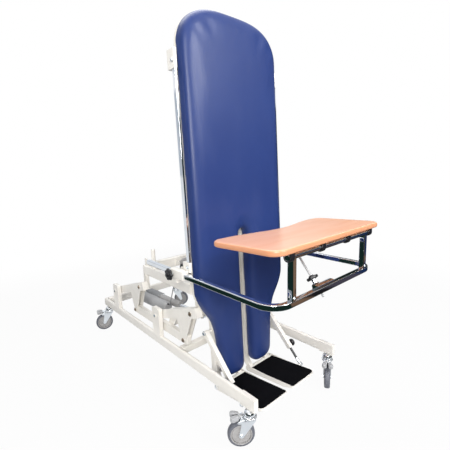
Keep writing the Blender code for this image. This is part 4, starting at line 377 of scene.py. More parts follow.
def beech():
    look = Look("lacquered_beech", coat_weight=0.20, coat_roughness=0.18)
    warp = look.noise(2.2, 2)
    long_way = look.stretch((1.1, 9.0, 9.0))
    band = look.noise(3.2, 4, long_way, 0.55)
    line = look.noise(46, 3, look.stretch((0.35, 9.0, 9.0)), 0.6)
    fleck = look.noise(120, 2, look.stretch((0.9, 5.5, 5.5))).step(0.64, 0.72)
    base = look.mix(band.step(0.30, 0.72), (0.870, 0.480, 0.320), (0.830, 0.420, 0.250))
    base = look.mix(line.step(0.52, 0.78) * 0.26, base, (0.680, 0.320, 0.165))
    base = look.mix(fleck * 0.30, base, (0.560, 0.250, 0.120))
    base = look.mix(warp.step(0.3, 0.8) * 0.12, base, (0.92, 0.56, 0.37))
    # Painted shade: the rim and the underside, everything more than a few millimetres below the top face, are
    # coloured darker and more orange.
    face = TRAY @ Vector((0, 0, TRAY_TOP))
    up, back = math.cos(TRAY_TIP), math.sin(TRAY_TIP)
    painted_shade_depth = face.z * up + face.y * back - look.split("Z") * up - look.split("Y") * back
    base = look.mix(painted_shade_depth.step(0.0006, 0.0040), base, (0.650, 0.290, 0.150))
    height = line * 0.7 + fleck * 0.6
    return look.set(base, line * 0.12 + warp * 0.06 + 0.24, height, 0.06, 0.0004)


def rubber():
    look = Look("black_rubber", specular_ior_level=0.04)
    cloud = look.noise(14, 3)
    dust = look.noise(90, 4).step(0.5, 0.85)
    base = look.mix(cloud, (0.0020, 0.0020, 0.0028), (0.0045, 0.0045, 0.0060))
    base = look.mix(dust * 0.05, base, (0.04, 0.04, 0.038))
    return look.set(base, cloud * 0.12 + 0.70, look.noise(1500, 3), 0.18, 0.0005)


def moulded(name, dark, light, rough, scale=700):
    """Moulded plastic with a fine spark finish."""
    look = Look(name)
    cloud = look.noise(22, 3)
    rub = look.noise(60, 4).step(0.55, 0.85)
    base = look.mix(cloud, dark, light)
    paler = tuple(min(1.0, channel * 1.5 + 0.03) for channel in light)
    base = look.mix(rub * 0.16, base, paler)
    return look.set(base, cloud * 0.10 + rub * 0.1 + rough, look.noise(scale, 3), 0.14, 0.0005)


def tyre_tread():
    look = Look("grey_tread")
    cloud = look.noise(26, 3)
    dirt = look.noise(140, 4).step(0.42, 0.75)
    base = look.mix(cloud, (0.085, 0.092, 0.115), (0.135, 0.142, 0.170))
    base = look.mix(dirt * 0.35, base, (0.24, 0.235, 0.22))
    return look.set(base, dirt * 0.2 + 0.5, look.noise(900, 3) + dirt * 0.5, 0.2, 0.0006)


LOOKS = {
    "cream_paint": painted_steel(),
    "chrome": chrome(),
    "zinc": zinc(),
    "navy_vinyl": navy_vinyl(),
    "panel_laminate": panel_laminate(),
    "beech": beech(),
    "black_rubber": rubber(),
    "black_plastic": moulded("black_plastic", (0.006, 0.006, 0.008), (0.013, 0.013, 0.016), 0.30),
    "grey_plastic": moulded("grey_plastic", (0.33, 0.335, 0.345), (0.42, 0.425, 0.435), 0.34),
    "grey_tread": tyre_tread(),
    "actuator_grey": moulded("actuator_grey", (0.33, 0.33, 0.335), (0.41, 0.41, 0.415), 0.42),
    "cable_grey": moulded("cable_grey", (0.20, 0.20, 0.21), (0.28, 0.28, 0.29), 0.48, 1200),
    "hub": moulded("pale_grey_hub", (0.30, 0.292, 0.288), (0.38, 0.370, 0.365), 0.34),
    "dark_grey": moulded("dark_grey_housing", (0.200, 0.204, 0.208), (0.250, 0.255, 0.260), 0.40),
    "yellow": passivated("yellow_passivated_steel", (0.30, 0.23, 0.17), (0.52, 0.44, 0.36), 0.25, 0.25),
    "blue_zinc": passivated("blue_passivated_steel", (0.22, 0.29, 0.36), (0.40, 0.48, 0.56), 0.2, 0.3),
}

# Mesh shapes, as bmesh

def arc(centre, radius, start, end, steps):
    """Points on an arc between two angles in degrees."""
    points = []
    for i in range(steps + 1):
        turn = math.radians(start + (end - start) * i / steps)
        points.append((centre[0] + radius * math.cos(turn), centre[1] + radius * math.sin(turn)))
    return points


def rounded(left, bottom, right, top, radius, steps):
    """Outline of a box with rounded corners."""
    outline = arc((left + radius, bottom + radius), radius, 180, 270, steps)
    outline += arc((right - radius, bottom + radius), radius, 270, 360, steps)
    outline += arc((right - radius, top - radius), radius, 0, 90, steps)
    outline += arc((left + radius, top - radius), radius, 90, 180, steps)
    return outline


def circle(radius, sides, centre=(0, 0)):
    return arc(centre, radius, 0, 360, sides)[:-1]


def lobed(radius, lobes, depth, steps):
    """Outline of a star knob."""
    outline = []
    for i in range(lobes * steps):
        turn = 2 * math.pi * i / (lobes * steps)
        reach = radius - depth * (0.5 - 0.5 * math.cos(lobes * turn))
        outline.append((reach * math.cos(turn), reach * math.sin(turn)))
    return outline


def hull(circles, sides=32):
    """Outline stretched round several bosses, each (centre, radius)."""
    points = sorted({point for centre, radius in circles for point in circle(radius, sides, centre)})
    chains = []
    for run in (points, points[::-1]):
        chain = []
        for point in run:
            while len(chain) > 1:
                a, b = chain[-2], chain[-1]
                if (b[0] - a[0]) * (point[1] - a[1]) - (b[1] - a[1]) * (point[0] - a[0]) > 0:
                    break
                chain.pop()
            chain.append(point)
        chains.append(chain[:-1])
    return chains[0] + chains[1]


def inset(outline, distance):
    """The outline drawn in by a distance."""
    count = len(outline)
    moved = []
    for i, point in enumerate(outline):
        here = Vector(point)
        edge_in = (here - Vector(outline[i - 1])).normalized()
        edge_out = (Vector(outline[(i + 1) % count]) - here).normalized()
        normal = Vector((-edge_in.y - edge_out.y, edge_in.x + edge_out.x)).normalized()
        stretch = max(0.5, normal.dot(Vector((-edge_in.y, edge_in.x))))
        moved.append(tuple(here + normal * (distance / stretch)))
    return moved


def loft(rings, around=False):
    """Rings of points joined to a closed skin, with end caps unless the last ring meets the first."""
    mesh = bmesh.new()
    rows = [[mesh.verts.new(point) for point in ring] for ring in rings]
    count = len(rows[0])
    pairs = list(zip(rows, rows[1:]))
    if around:
        pairs.append((rows[-1], rows[0]))
    for lower, upper in pairs:
        for i in range(count):
            j = (i + 1) % count
            mesh.faces.new((lower[i], lower[j], upper[j], upper[i]))
    if not around:
        mesh.faces.new(rows[0])
        mesh.faces.new(rows[-1])
    bmesh.ops.recalc_face_normals(mesh, faces=mesh.faces)
    return mesh


def slab(outline, layers):
    """An outline in X and Y lofted through (height, inset) layers."""
    rings = []
    for height, drawn in layers:
        ring = inset(outline, drawn) if drawn else outline
        rings.append([(x, y, height) for x, y in ring])
    return loft(rings)


def broken(low, high, edge, early=0.4):
    """Layers of a slab with broken edges at both ends."""
    near = ((0, edge), (edge * early, edge * 0.3), (edge, 0))
    layers = [(low + rise, drawn) for rise, drawn in near]
    return layers + [(high - rise, drawn) for rise, drawn in reversed(near)]


def plate(outline, low, high, edge):
    """A flat plate with broken edges."""
    return slab(outline, broken(low, high, edge))


def turned(profile, sides):
    """A solid of revolution about Z: profile is (height, radius). A zero radius closes it to a point."""
    mesh = bmesh.new()
    rows = []
    for height, radius in profile:
        if radius < 1e-6:
            rows.append([mesh.verts.new((0, 0, height))])
        else:
            rows.append([mesh.verts.new((x, y, height)) for x, y in circle(radius, sides)])
    for lower, upper in zip(rows, rows[1:]):
        for i in range(sides):
            corners = ((lower, i), (lower, i + 1), (upper, i + 1), (upper, i))
            ring = []
            for row, k in corners:
                vert = row[k % len(row)]
                if vert not in ring:
                    ring.append(vert)
            if len(ring) > 2:
                mesh.faces.new(ring)
    for row in (rows[0], rows[-1]):
        if len(row) > 1:
            mesh.faces.new(row)
    bmesh.ops.recalc_face_normals(mesh, faces=mesh.faces)
    return mesh


def both_ways(profile):
    """A profile with its mirror image about the height 0."""
    return profile + [(-height, radius) for height, radius in reversed(profile)]


def tyre(profile, sides):
    """A ring about Z from a closed cross-section of (height, radius)."""
    rings = []
    for i in range(sides):
        turn = 2 * math.pi * i / sides
        rings.append([(r * math.cos(turn), r * math.sin(turn), h) for h, r in profile])
    return loft(rings, around=True)


def smooth_through(points, steps):
    """A smooth curve through points, with a number of steps between each two."""
    padded = [points[0]] + list(points) + [points[-1]]
    curve = []
    for i in range(1, len(padded) - 2):
        p0, p1, p2, p3 = (Vector(p) for p in padded[i - 1 : i + 3])
        for k in range(steps):
            t = k / steps
            bend = 2 * p0 - 5 * p1 + 4 * p2 - p3
            twist = 3 * p1 - p0 - 3 * p2 + p3
            curve.append(0.5 * (2 * p1 + (p2 - p0) * t + bend * t**2 + twist * t**3))
    curve.append(Vector(points[-1]))
    return curve


def swept(path, section):
    """A section (across, up) carried along a level path of points."""
    rings = []
    for i, point in enumerate(path):
        ahead = (Vector(path[min(i + 1, len(path) - 1)]) - Vector(path[max(i - 1, 0)])).normalized()
        side = Vector((ahead.y, -ahead.x, 0))
        rings.append([tuple(Vector(point) + side * a + Vector((0, 0, b))) for a, b in section])
    return loft(rings)


def tube_along(points, radius):
    """A round tube along any smooth path, its ends closed."""
    rings, across = [], None
    for i, point in enumerate(points):
        ahead = (Vector(points[min(i + 1, len(points) - 1)]) - Vector(points[max(i - 1, 0)])).normalized()
        across = ahead.orthogonal() if across is None else across - ahead * across.dot(ahead)
        across.normalize()
        beside = ahead.cross(across)
        rings.append([tuple(Vector(point) + radius * (across * a + beside * b)) for a, b in circle(1, 16)])
    return loft(rings)


def placed(mesh, matrix):
    """The mesh, moved."""
    mesh.transform(matrix)
    return mesh


def joined(*meshes):
    """Several closed shells in one mesh."""
    whole = bmesh.new()
    for mesh in meshes:
        data = bpy.data.meshes.new("shell")
        mesh.to_mesh(data)
        mesh.free()
        whole.from_mesh(data)
        bpy.data.meshes.remove(data)
    return whole


def facing(axis, origin=(0, 0, 0)):
    """Turns a shape that is drawn about Z to stand on a point and face an axis."""
    turn = Vector(axis).to_track_quat("Z", "Y").to_matrix().to_4x4()
    return Matrix.Translation(origin) @ turn


def eye_ring(half, bore, rim, outer, edge, sides, centre=(0, 0, 0)):
    """A ring across X with broken edges."""
    section = both_ways([(-half, bore), (-half, rim), (edge - half, outer)])
    return placed(tyre(section, sides), facing((1, 0, 0), centre))


def round_pin(half, end, radius, edge, sides, axis=(1, 0, 0), centre=(0, 0, 0)):
    """A pin with broken ends."""
    profile = both_ways([(-half, end), (edge - half, radius)])
    return placed(turned(profile, sides), facing(axis, centre))


def in_scene(name, mesh):
    """The mesh as an object in the scene."""
    data = bpy.data.meshes.new(name)
    mesh.to_mesh(data)
    mesh.free()
    made = bpy.data.objects.new(name, data)
    bpy.context.scene.collection.objects.link(made)
    return made


# Pieces

SLOT_OF = {row["node"]: row["material_slot"] for row in frame["record"]["subparts"]}


def applied(made):
    """Puts the effect of a piece's modifiers into its mesh."""
    bpy.context.view_layer.update()
    data = bpy.data.meshes.new_from_object(made.evaluated_get(bpy.context.evaluated_depsgraph_get()))
    made.modifiers.clear()
    made.data = data


def piece(name, mesh, look, body, place=None, stands_for=(), bevel=0.0, angle=40):
    """A finished piece from a closed mesh: placed, bevelled, smoothed, painted and set to ride on a body."""
    if place is not None:
        mesh.transform(place)
    bmesh.ops.remove_doubles(mesh, verts=mesh.verts, dist=1e-6)
    bmesh.ops.recalc_face_normals(mesh, faces=mesh.faces)
    made = in_scene(name, mesh)
    if bevel:
        step = made.modifiers.new("edges", "BEVEL")
        step.width = bevel
        step.segments = 2
        step.limit_method = "ANGLE"
        step.angle_limit = math.radians(angle)
        step.use_clamp_overlap = True
        applied(made)
    made.data.materials.clear()
    made.data.materials.append(LOOKS[look])
    made.data.shade_smooth()
    made.data.set_sharp_from_angle(angle=math.radians(angle))
    step = made.modifiers.new("flat_faces", "WEIGHTED_NORMAL")
    step.keep_sharp = True
    applied(made)
    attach(made, body)
    if stands_for:
        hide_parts(*stands_for)
    return made


def dressed(node, bevel):
    """A copy of a CAD node with its triangles merged to flat faces and its edges broken."""
    source = frame["nodes"][node]
    mesh = bmesh.new()
    mesh.from_mesh(source.data)
    bmesh.ops.remove_doubles(mesh, verts=mesh.verts, dist=1e-5)
    flat = math.radians(0.6)
    bmesh.ops.dissolve_limit(mesh, angle_limit=flat, verts=mesh.verts, edges=mesh.edges)
    slot = SLOT_OF[node]
    body = source["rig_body"]
    return piece("dressed_" + node, mesh, slot, body, None, (node,), bevel, angle=50)


# Bolts and ribs, as Geometry Nodes

class Tree:
    """A Geometry Nodes tree with named inputs."""

    def __init__(self, name, inputs):
        self.tree = bpy.data.node_groups.new(name, "GeometryNodeTree")
        sockets = self.tree.interface
        sockets.new_socket("Geometry", in_out="INPUT", socket_type="NodeSocketGeometry")
        for label, kind in inputs:
            sockets.new_socket(label, in_out="INPUT", socket_type=kind)
        sockets.new_socket("Geometry", in_out="OUTPUT", socket_type="NodeSocketGeometry")
        self.given = self.tree.nodes.new("NodeGroupInput")
        self.result = self.tree.nodes.new("NodeGroupOutput")

    def input(self, label):
        return self.given.outputs[label]

    def node(self, kind, settings=None, values=None):
        made = self.tree.nodes.new(kind)
        for key, value in (settings or {}).items():
            setattr(made, key, value)
        for key, value in (values or {}).items():
            if isinstance(value, bpy.types.NodeSocket):
                self.tree.links.new(value, made.inputs[key])
            else:
                made.inputs[key].default_value = value
        return made.outputs[0]

    def times(self, value, factor):
        return self.node("ShaderNodeMath", {"operation": "MULTIPLY"}, {0: value, 1: factor})

    def lift(self, mesh, height):
        offset = self.node("ShaderNodeCombineXYZ", None, {"Z": height})
        return self.node("GeometryNodeTransform", None, {"Geometry": mesh, "Translation": offset})

    def join(self, *parts):
        made = self.tree.nodes.new("GeometryNodeJoinGeometry")
        for part in reversed(parts):
            self.tree.links.new(part, made.inputs[0])
        return made.outputs[0]

    def spread(self, shape, more=None):
        """One copy of a shape on each point, its Z along the point's direction."""
        named = {"Name": "facing"}
        direction = self.node("GeometryNodeInputNamedAttribute", {"data_type": "FLOAT_VECTOR"}, named)
        turn = self.node("FunctionNodeAlignRotationToVector", {"axis": "Z"}, {"Vector": direction})
        points = self.node("GeometryNodeMeshToPoints", None, {"Mesh": self.input("Geometry")})
        values = {"Points": points, "Instance": shape, "Rotation": turn}
        return self.node("GeometryNodeInstanceOnPoints", None, {**values, **(more or {})})

    def end(self, geometry, material):
        real = self.node("GeometryNodeRealizeInstances", None, {"Geometry": geometry})
        painted = self.node("GeometryNodeSetMaterial", None, {"Geometry": real, "Material": material})
        self.tree.links.new(painted, self.result.inputs[0])
        return self.tree


def bolt_tree():
    """Hexagon heads on washers, one on each point, facing the point's direction."""
    sizes = [(label, "NodeSocketFloat") for label in ("Head", "Height", "Washer")]
    tree = Tree("bolts", sizes + [("Material", "NodeSocketMaterial")])
    head = tree.input("Head")
    height = tree.input("Height")

    def rod(sides, radius, depth):
        values = {"Vertices": sides, "Radius": radius, "Depth": tree.times(height, depth)}
        return tree.node("GeometryNodeMeshCylinder", None, values)

    ring = rod(24, tree.input("Washer"), 0.3)
    hexagon = rod(6, head, 0.8)
    taper = {"Vertices": 6, "Radius Top": tree.times(head, 0.78), "Radius Bottom": head}
    taper["Depth"] = tree.times(height, 0.2)
    crown = tree.node("GeometryNodeMeshCone", None, taper)
    stub = rod(16, tree.times(head, 0.5), 0.9)
    whole = tree.join(
        tree.lift(ring, tree.times(height, 0.15)),
        tree.lift(hexagon, tree.times(height, 0.68)),
        tree.lift(crown, tree.times(height, 1.08)),
        tree.lift(stub, tree.times(height, 1.0)),
    )
    return tree.end(tree.spread(whole), tree.input("Material"))


def rib_tree():
    """A row of half-round ribs, one on each point, as long as the point's reach."""
    tree = Tree("ribs", [("Radius", "NodeSocketFloat"), ("Material", "NodeSocketMaterial")])
    values = {"Vertices": 6, "Radius": tree.input("Radius"), "Depth": 1.0}
    bar = tree.node("GeometryNodeMeshCylinder", None, values)
    turned_over = {"Geometry": bar, "Rotation": (0.0, math.pi / 2, 0.0)}
    level = tree.node("GeometryNodeTransform", None, turned_over)
    reach = tree.node("GeometryNodeInputNamedAttribute", {"data_type": "FLOAT"}, {"Name": "reach"})
    scale = tree.node("ShaderNodeCombineXYZ", None, {"X": reach, "Y": 1.0, "Z": 1.0})
    return tree.end(tree.spread(level, {"Scale": scale}), tree.input("Material"))


BOLTS = bolt_tree()
RIBS = rib_tree()


def grown(name, tree, points, directions, sizes, look, body, reaches=None):
    """Grows a tree's copies on points and keeps the result as one plain piece."""
    data = bpy.data.meshes.new(name)
    data.from_pydata([tuple(point) for point in points], [], [])
    flat = [value for direction in directions for value in direction]
    data.attributes.new("facing", "FLOAT_VECTOR", "POINT").data.foreach_set("vector", flat)
    if reaches:
        data.attributes.new("reach", "FLOAT", "POINT").data.foreach_set("value", reaches)
    made = bpy.data.objects.new(name, data)
    bpy.context.scene.collection.objects.link(made)
    step = made.modifiers.new("copies", "NODES")
    step.node_group = tree
    given = dict(sizes, Material=LOOKS[look])
    for item in tree.interface.items_tree:
        if item.in_out == "INPUT" and item.name in given:
            step[item.identifier] = given[item.name]
    applied(made)
    made.data.shade_smooth()
    made.data.set_sharp_from_angle(angle=math.radians(30))
    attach(made, body)
    return made


def bolts(name, body, spots, head, height, washer, look="zinc", place=BASE):
    """Bolt heads at (point, direction) spots given in a local frame."""
    points = [place @ Vector(point) for point, _ in spots]
    directions = [place.to_3x3() @ Vector(direction) for _, direction in spots]
    sizes = {"Head": head, "Height": height, "Washer": washer}
    return grown(name, BOLTS, points, directions, sizes, look, body)


# Cushion and panel: their outline as (x, z) about the hinge
BOARD_HALF_WIDTH = 0.325
ARCH_TOP = 1.259
ARCH_HEIGHT = 0.194
ARCH_STEPS = 16
ARCH_ACROSS, ARCH_UP = 3.27, 2.09
LEG_HALF_WIDTH = 0.194
LEG_CORNER = 0.068
PAD_SLOT = 0.034
PANEL_SLOT = 0.026
SLOT_TOP = 0.176
SLOT_CORNER = 0.046
WAIST = (
    (LEG_HALF_WIDTH, -0.560),
    (0.206, -0.430),
    (0.216, -0.360),
    (0.238, -0.290),
    (0.286, -0.220),
    (0.318, -0.155),
    (BOARD_HALF_WIDTH, -0.100),
)
PAD_FACE, PAD_BACK = -0.1426, -0.0676
PAD_BOTTOM = -0.641
PANEL_FRONT, PANEL_BACK = -0.0673, -0.0553
PANEL_BOTTOM = -0.629
PANEL_INSET = 0.0065
CUSHION_CAP = 0.004
CUSHION_FRAMES = 20
HELD_DEPTH = 0.012


def board_outline(bottom, slot):
    """From the slot's top down round the right leg, over the waist to the arch, then mirrored."""
    right = arc((0, SLOT_TOP - slot), slot, 90, 0, 6)
    right += arc((slot + SLOT_CORNER, bottom + SLOT_CORNER), SLOT_CORNER, 180, 270, 6)
    right += arc((LEG_HALF_WIDTH - LEG_CORNER, bottom + LEG_CORNER), LEG_CORNER, 270, 360, 8)
    right += [tuple(point) for point in smooth_through(WAIST, 4)]
    for i in range(ARCH_STEPS + 1):
        turn = 0.5 * math.pi * i / ARCH_STEPS
        x = BOARD_HALF_WIDTH * math.cos(turn) ** (2 / ARCH_ACROSS)
        right.append((x, ARCH_TOP - ARCH_HEIGHT + ARCH_HEIGHT * math.sin(turn) ** (2 / ARCH_UP)))
    return right + [(-x, z) for x, z in reversed(right[1:-1])]


def board_loft(outline, layers):
    """The outline lofted through (depth, inset) layers."""
    return loft([[(x, depth, z) for x, z in inset(outline, drawn)] for depth, drawn in layers])


def make_panel():
    near = ((0, PANEL_INSET + 0.0016), (0.0008, PANEL_INSET + 0.0002), (0.0018, PANEL_INSET))
    layers = [(PANEL_FRONT + depth, drawn) for depth, drawn in near]
    layers += [(PANEL_BACK - depth, drawn) for depth, drawn in reversed(near)]
    mesh = board_loft(board_outline(PANEL_BOTTOM, PANEL_SLOT), layers)
    piece("panel", mesh, "panel_laminate", "board", BOARD, ("board_panel",), angle=30)


def make_cushion():
    """The upholstered board: drawn-in sides and a rounded face, then swelled as foam under vinyl."""
    edge, crown = 0.038, 0.003
    layers = [(PAD_BACK, 0.002), (PAD_BACK - 0.022, 0.0), (PAD_FACE + edge, 0.0)]
    for turn in (20, 40, 60, 80):
        rise = math.sin(math.radians(turn)) * (edge - crown)
        layers.append((PAD_FACE + edge - rise, edge * (1 - math.cos(math.radians(turn)))))
    layers.append((PAD_FACE, 0.044))
    mesh = board_loft(board_outline(PAD_BOTTOM, PAD_SLOT), layers)
    mesh.transform(BOARD)
    flat = BOARD.inverted()
    back = max((flat @ vert.co).y for vert in mesh.verts)
    made = in_scene("cushion", mesh)
    step = made.modifiers.new("even", "REMESH")
    step.mode = "VOXEL"
    step.voxel_size = 0.008
    relax(made, 3)
    applied(made)
    rest = [vert.co.copy() for vert in made.data.vertices]
    held = made.vertex_groups.new(name="held")
    held.add([i for i, co in enumerate(rest) if (flat @ co).y > back - HELD_DEPTH], 1.0, "ADD")
    swell(made, "held", rest)
    relax(made, 14)
    step = made.modifiers.new("skin", "SUBSURF")
    step.levels = step.render_levels = 1
    applied(made)
    made.vertex_groups.clear()
    made.data.materials.clear()
    made.data.materials.append(LOOKS["navy_vinyl"])
    made.data.shade_smooth()
    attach(made, "board")
    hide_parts("board_pad")


def relax(made, rounds):
    """Evens out the skin."""
    step = made.modifiers.new("relax", "SMOOTH")
    step.factor = 0.5
    step.iterations = rounds


def swell(made, group, rest):
    """Blows the skin out from inside and caps how far a point may move."""
    scene = bpy.context.scene
    step = made.modifiers.new("cloth", "CLOTH")
    settings = step.settings
    settings.quality = 5
    settings.use_pressure = True
    settings.uniform_pressure_force = 4.0
    settings.effector_weights.gravity = 0.0
    settings.vertex_group_mass = group
    settings.tension_stiffness = settings.compression_stiffness = 40
    settings.shear_stiffness = 25
    settings.bending_stiffness = 12
    step.point_cache.frame_start, step.point_cache.frame_end = 1, CUSHION_FRAMES
    for number in range(1, CUSHION_FRAMES + 1):
        scene.frame_set(number)
    applied(made)
    for vert, start in zip(made.data.vertices, rest):
        moved = vert.co - start
        if moved.length > CUSHION_CAP:
            vert.co = start + moved * (CUSHION_CAP / moved.length)
    scene.frame_set(1)


# Castors, each drawn with its wheel trailing along +X and its swivel axis at the origin

def make_wheel(name, place):
    lying = Matrix.Rotation(math.radians(-90), 4, "X")
    axle = place @ Matrix.Translation((TRAIL, 0, WHEEL_RADIUS)) @ lying
    body = "wheel_" + name
    crown = [(-0.015, 0.0500), (-0.015, 0.0555), (-0.0135, 0.0592), (-0.0100, 0.0615), (-0.0055, 0.0623)]
    section = crown + [(0, WHEEL_RADIUS)] + [(-height, radius) for height, radius in reversed(crown)]
    piece("tread_" + name, tyre(section, 72), "grey_tread", body, axle, ("castor_wheel_" + name,))
    face = [
        (-0.0165, 0.0058), (-0.0170, 0.0070), (-0.0170, 0.0125), (-0.0160, 0.0138), (-0.0128, 0.0150),
        (-0.0120, 0.0165), (-0.0120, 0.0408), (-0.0112, 0.0420), (-0.0082, 0.0426), (-0.0082, 0.0446),
        (-0.0140, 0.0454), (-0.0147, 0.0464), (-0.0147, 0.0500),
    ]
    piece("hub_" + name, tyre(both_ways(face), 72), "hub", body, axle, angle=32)


def make_fork(name, place):
    body = "castor_" + name
    upright = Matrix.Rotation(math.radians(90), 4, "X")
    leg = hull([((TRAIL, WHEEL_RADIUS), 0.0115), ((-0.0165, 0.1335), 0.0060), ((0.0330, 0.1335), 0.0060)])
    shoulder = hull([((0.020, 0.1290), 0.0105), ((0.0530, 0.1290), 0.0062)])
    legs, nuts = [], []
    for side, low in ((-1, -FORK_GAP - FORK_SHEET), (1, FORK_GAP)):
        high = low + FORK_SHEET
        legs.append(placed(plate(leg, low, high, 0.0012), upright))
        legs.append(placed(plate(shoulder, low + 0.0001, high - 0.0001, 0.0012), upright))
        nut = slab(circle(0.0085, 6), [(0, 0), (0.0038, 0), (0.0046, 0.0011)])
        nuts.append(placed(nut, facing((0, side, 0), (TRAIL, side * 0.0213, WHEEL_RADIUS))))
    layers = [(0.1300, 0.002), (0.1312, 0.0004), (0.1325, 0), (0.1378, 0), (0.1394, 0.0006), (0.1402, 0.0022)]
    crown = slab(rounded(-0.0265, -0.0215, 0.0450, 0.0215, 0.012, 5), layers)
    piece("fork_" + name, joined(*legs, crown, *nuts), "zinc", body, place, ("castor_fork_" + name,))
    profile = [
        (0, 0.0262), (0.0012, 0.0300), (0.0030, 0.0314), (0.0060, 0.0316), (0.0085, 0.0308), (0.0100, 0.0286),
        (0.0112, 0.0256), (0.0130, 0.0246), (0.0160, 0.0266), (0.0200, 0.0272), (0.0280, 0.0262),
        (0.0330, 0.0236), (0.0370, 0.0190), (0.0390, 0.0150), (0.0400, 0.0118), (0.0435, 0.0112),
        (0.0435, 0.0),
    ]
    seat = place @ Matrix.Translation((0, 0, 0.1390))
    head = turned(profile, 12)
    piece("swivel_head_" + name, head, "chrome", body, seat, bevel=0.0009, angle=24)
    ear = hull([(PEDAL_PIVOT, 0.006), ((0.032, 0.137), 0.003), ((0.044, 0.137), 0.003)], 20)
    ears = [round_pin(0.019, 0.0024, 0.0030, 0.0005, 16, (0, 1, 0), (PEDAL_PIVOT[0], 0, PEDAL_PIVOT[1]))]
    for low in (-0.0185, 0.0155):
        ears.append(placed(plate(ear, low, low + 0.003, 0.0006), upright))
    piece("pedal_ears_" + name, joined(*ears), "zinc", body, place)


def make_pedal(name, place):
    pivot = place @ Matrix.Translation((PEDAL_PIVOT[0], 0, PEDAL_PIVOT[1]))
    body = "pedal_" + name
    tip = PEDAL_TIP - PEDAL_PIVOT[0]
    rise = [
        (-0.0105, 0.0040), (-0.0098, 0.0018), (-0.0080, 0.0004), (-0.0055, 0), (0.0055, 0), (0.0082, 0.0006),
        (0.0100, 0.0024), (0.0108, 0.0050),
    ]
    lobes = []
    for side in (-1, 1):
        outline = hull([((0.022, side * 0.012), 0.010), ((tip - 0.013, side * 0.0165), 0.0128)], 28)
        lobes.append(slab(outline, rise))
    piece("brake_lobes_" + name, joined(*lobes), "grey_plastic", body, pivot, ("brake_pedal_" + name,))
    rise = [(-0.0050, 0.0020), (-0.0040, 0.0004), (-0.0025, 0)]
    rise += [(0.0025, 0), (0.0040, 0.0004), (0.0052, 0.0022)]
    arm = slab(rounded(-0.006, -0.0105, 0.0260, 0.0105, 0.0045, 4), rise)
    piece("brake_arm_" + name, arm, "zinc", body, pivot)
    rise = [(-0.0085, 0.001), (-0.0075, 0), (0.0070, 0), (0.0080, 0.001)]
    web = slab(rounded(0.0180, -0.0040, tip - 0.0125, 0.0040, 0.003, 3), rise)
    piece("brake_slot_" + name, web, "black_plastic", body, pivot)


def make_castors():
    for name, x, y, heading in CASTORS:
        place = castor_place(x, y, heading)
        make_wheel(name, place)
        make_fork(name, place)
        make_pedal(name, place)


# Knobs

def star_shape():
    """Seven-lobed knob that faces +Z from its seat at the origin."""
    thick, hub = 0.018, 0.0135
    rise = [
        (0.0035, 0.0052), (0.0040, 0.0028), (0.0055, 0.0009), (0.0078, 0), (thick - 0.0055, 0),
        (thick - 0.0026, 0.0010), (thick - 0.0008, 0.0030), (thick, 0.0062),
    ]
    star = slab(lobed(0.0315, 7, 0.0052, 8), rise)
    base = turned([(0, 0.0085), (0.0006, 0.0098), (0.0045, 0.0118)], 36)
    rise = [
        (thick - 0.002, hub), (thick + 0.0010, hub), (thick + 0.0040, hub * 0.90),
        (thick + 0.0062, hub * 0.62), (thick + 0.0070, hub * 0.30), (thick + 0.0071, 0),
    ]
    return joined(star, base, turned(rise, 36))


def make_socket_knobs():
    for name, side in SIDES:
        body = "socket_clamp_" + name
        place = BASE @ facing((side, 0, 0), (side * (BAR_X + SOCKET_WALL), 0.492, BAR_Z))
        piece("socket_star_" + name, star_shape(), "black_plastic", body, place, ("socket_knob_" + name,))
        stem = turned([(-0.0180, 0.0040), (-0.0175, 0.0048), (0.0020, 0.0048)], 20)
        piece("socket_screw_" + name, stem, "zinc", body, place)


def make_strut_knobs():
    profile = [
        (0, 0.0085), (0.0008, 0.0094), (0.0055, 0.0100), (0.0072, 0.0125), (0.0090, 0.0172), (0.0115, 0.0198),
        (0.0150, 0.0210), (0.0200, 0.0209), (0.0240, 0.0196), (0.0272, 0.0168), (0.0292, 0.0122),
        (0.0301, 0.0060), (0.0302, 0),
    ]
    for name, side in SIDES:
        body = "strut_clamp_" + name
        place = STRUT @ facing((side, 0, 0), (side * (STRUT_X + 0.0145), 0, -0.262))
        ball = turned(profile, 48)
        piece("clamp_ball_" + name, ball, "black_plastic", body, place, ("strut_knob_" + name,))


# Workstation

def bar_path():
    """The bar's centre line from its left end round the front to its right end."""
    corner, front = 0.080, BAR_FRONT + BAR_HALF
    straight = [BAR_END - BAR_STRETCH * i / 6 for i in range(7)]
    path = [(-BAR_X, y) for y in straight]
    path += arc((corner - BAR_X, front + corner), corner, 180, 270, 20)
    path += arc((BAR_X - corner, front + corner), corner, 270, 360, 20)
    path += [(BAR_X, y) for y in reversed(straight)]
    return [(x, y, BAR_Z) for x, y in path]


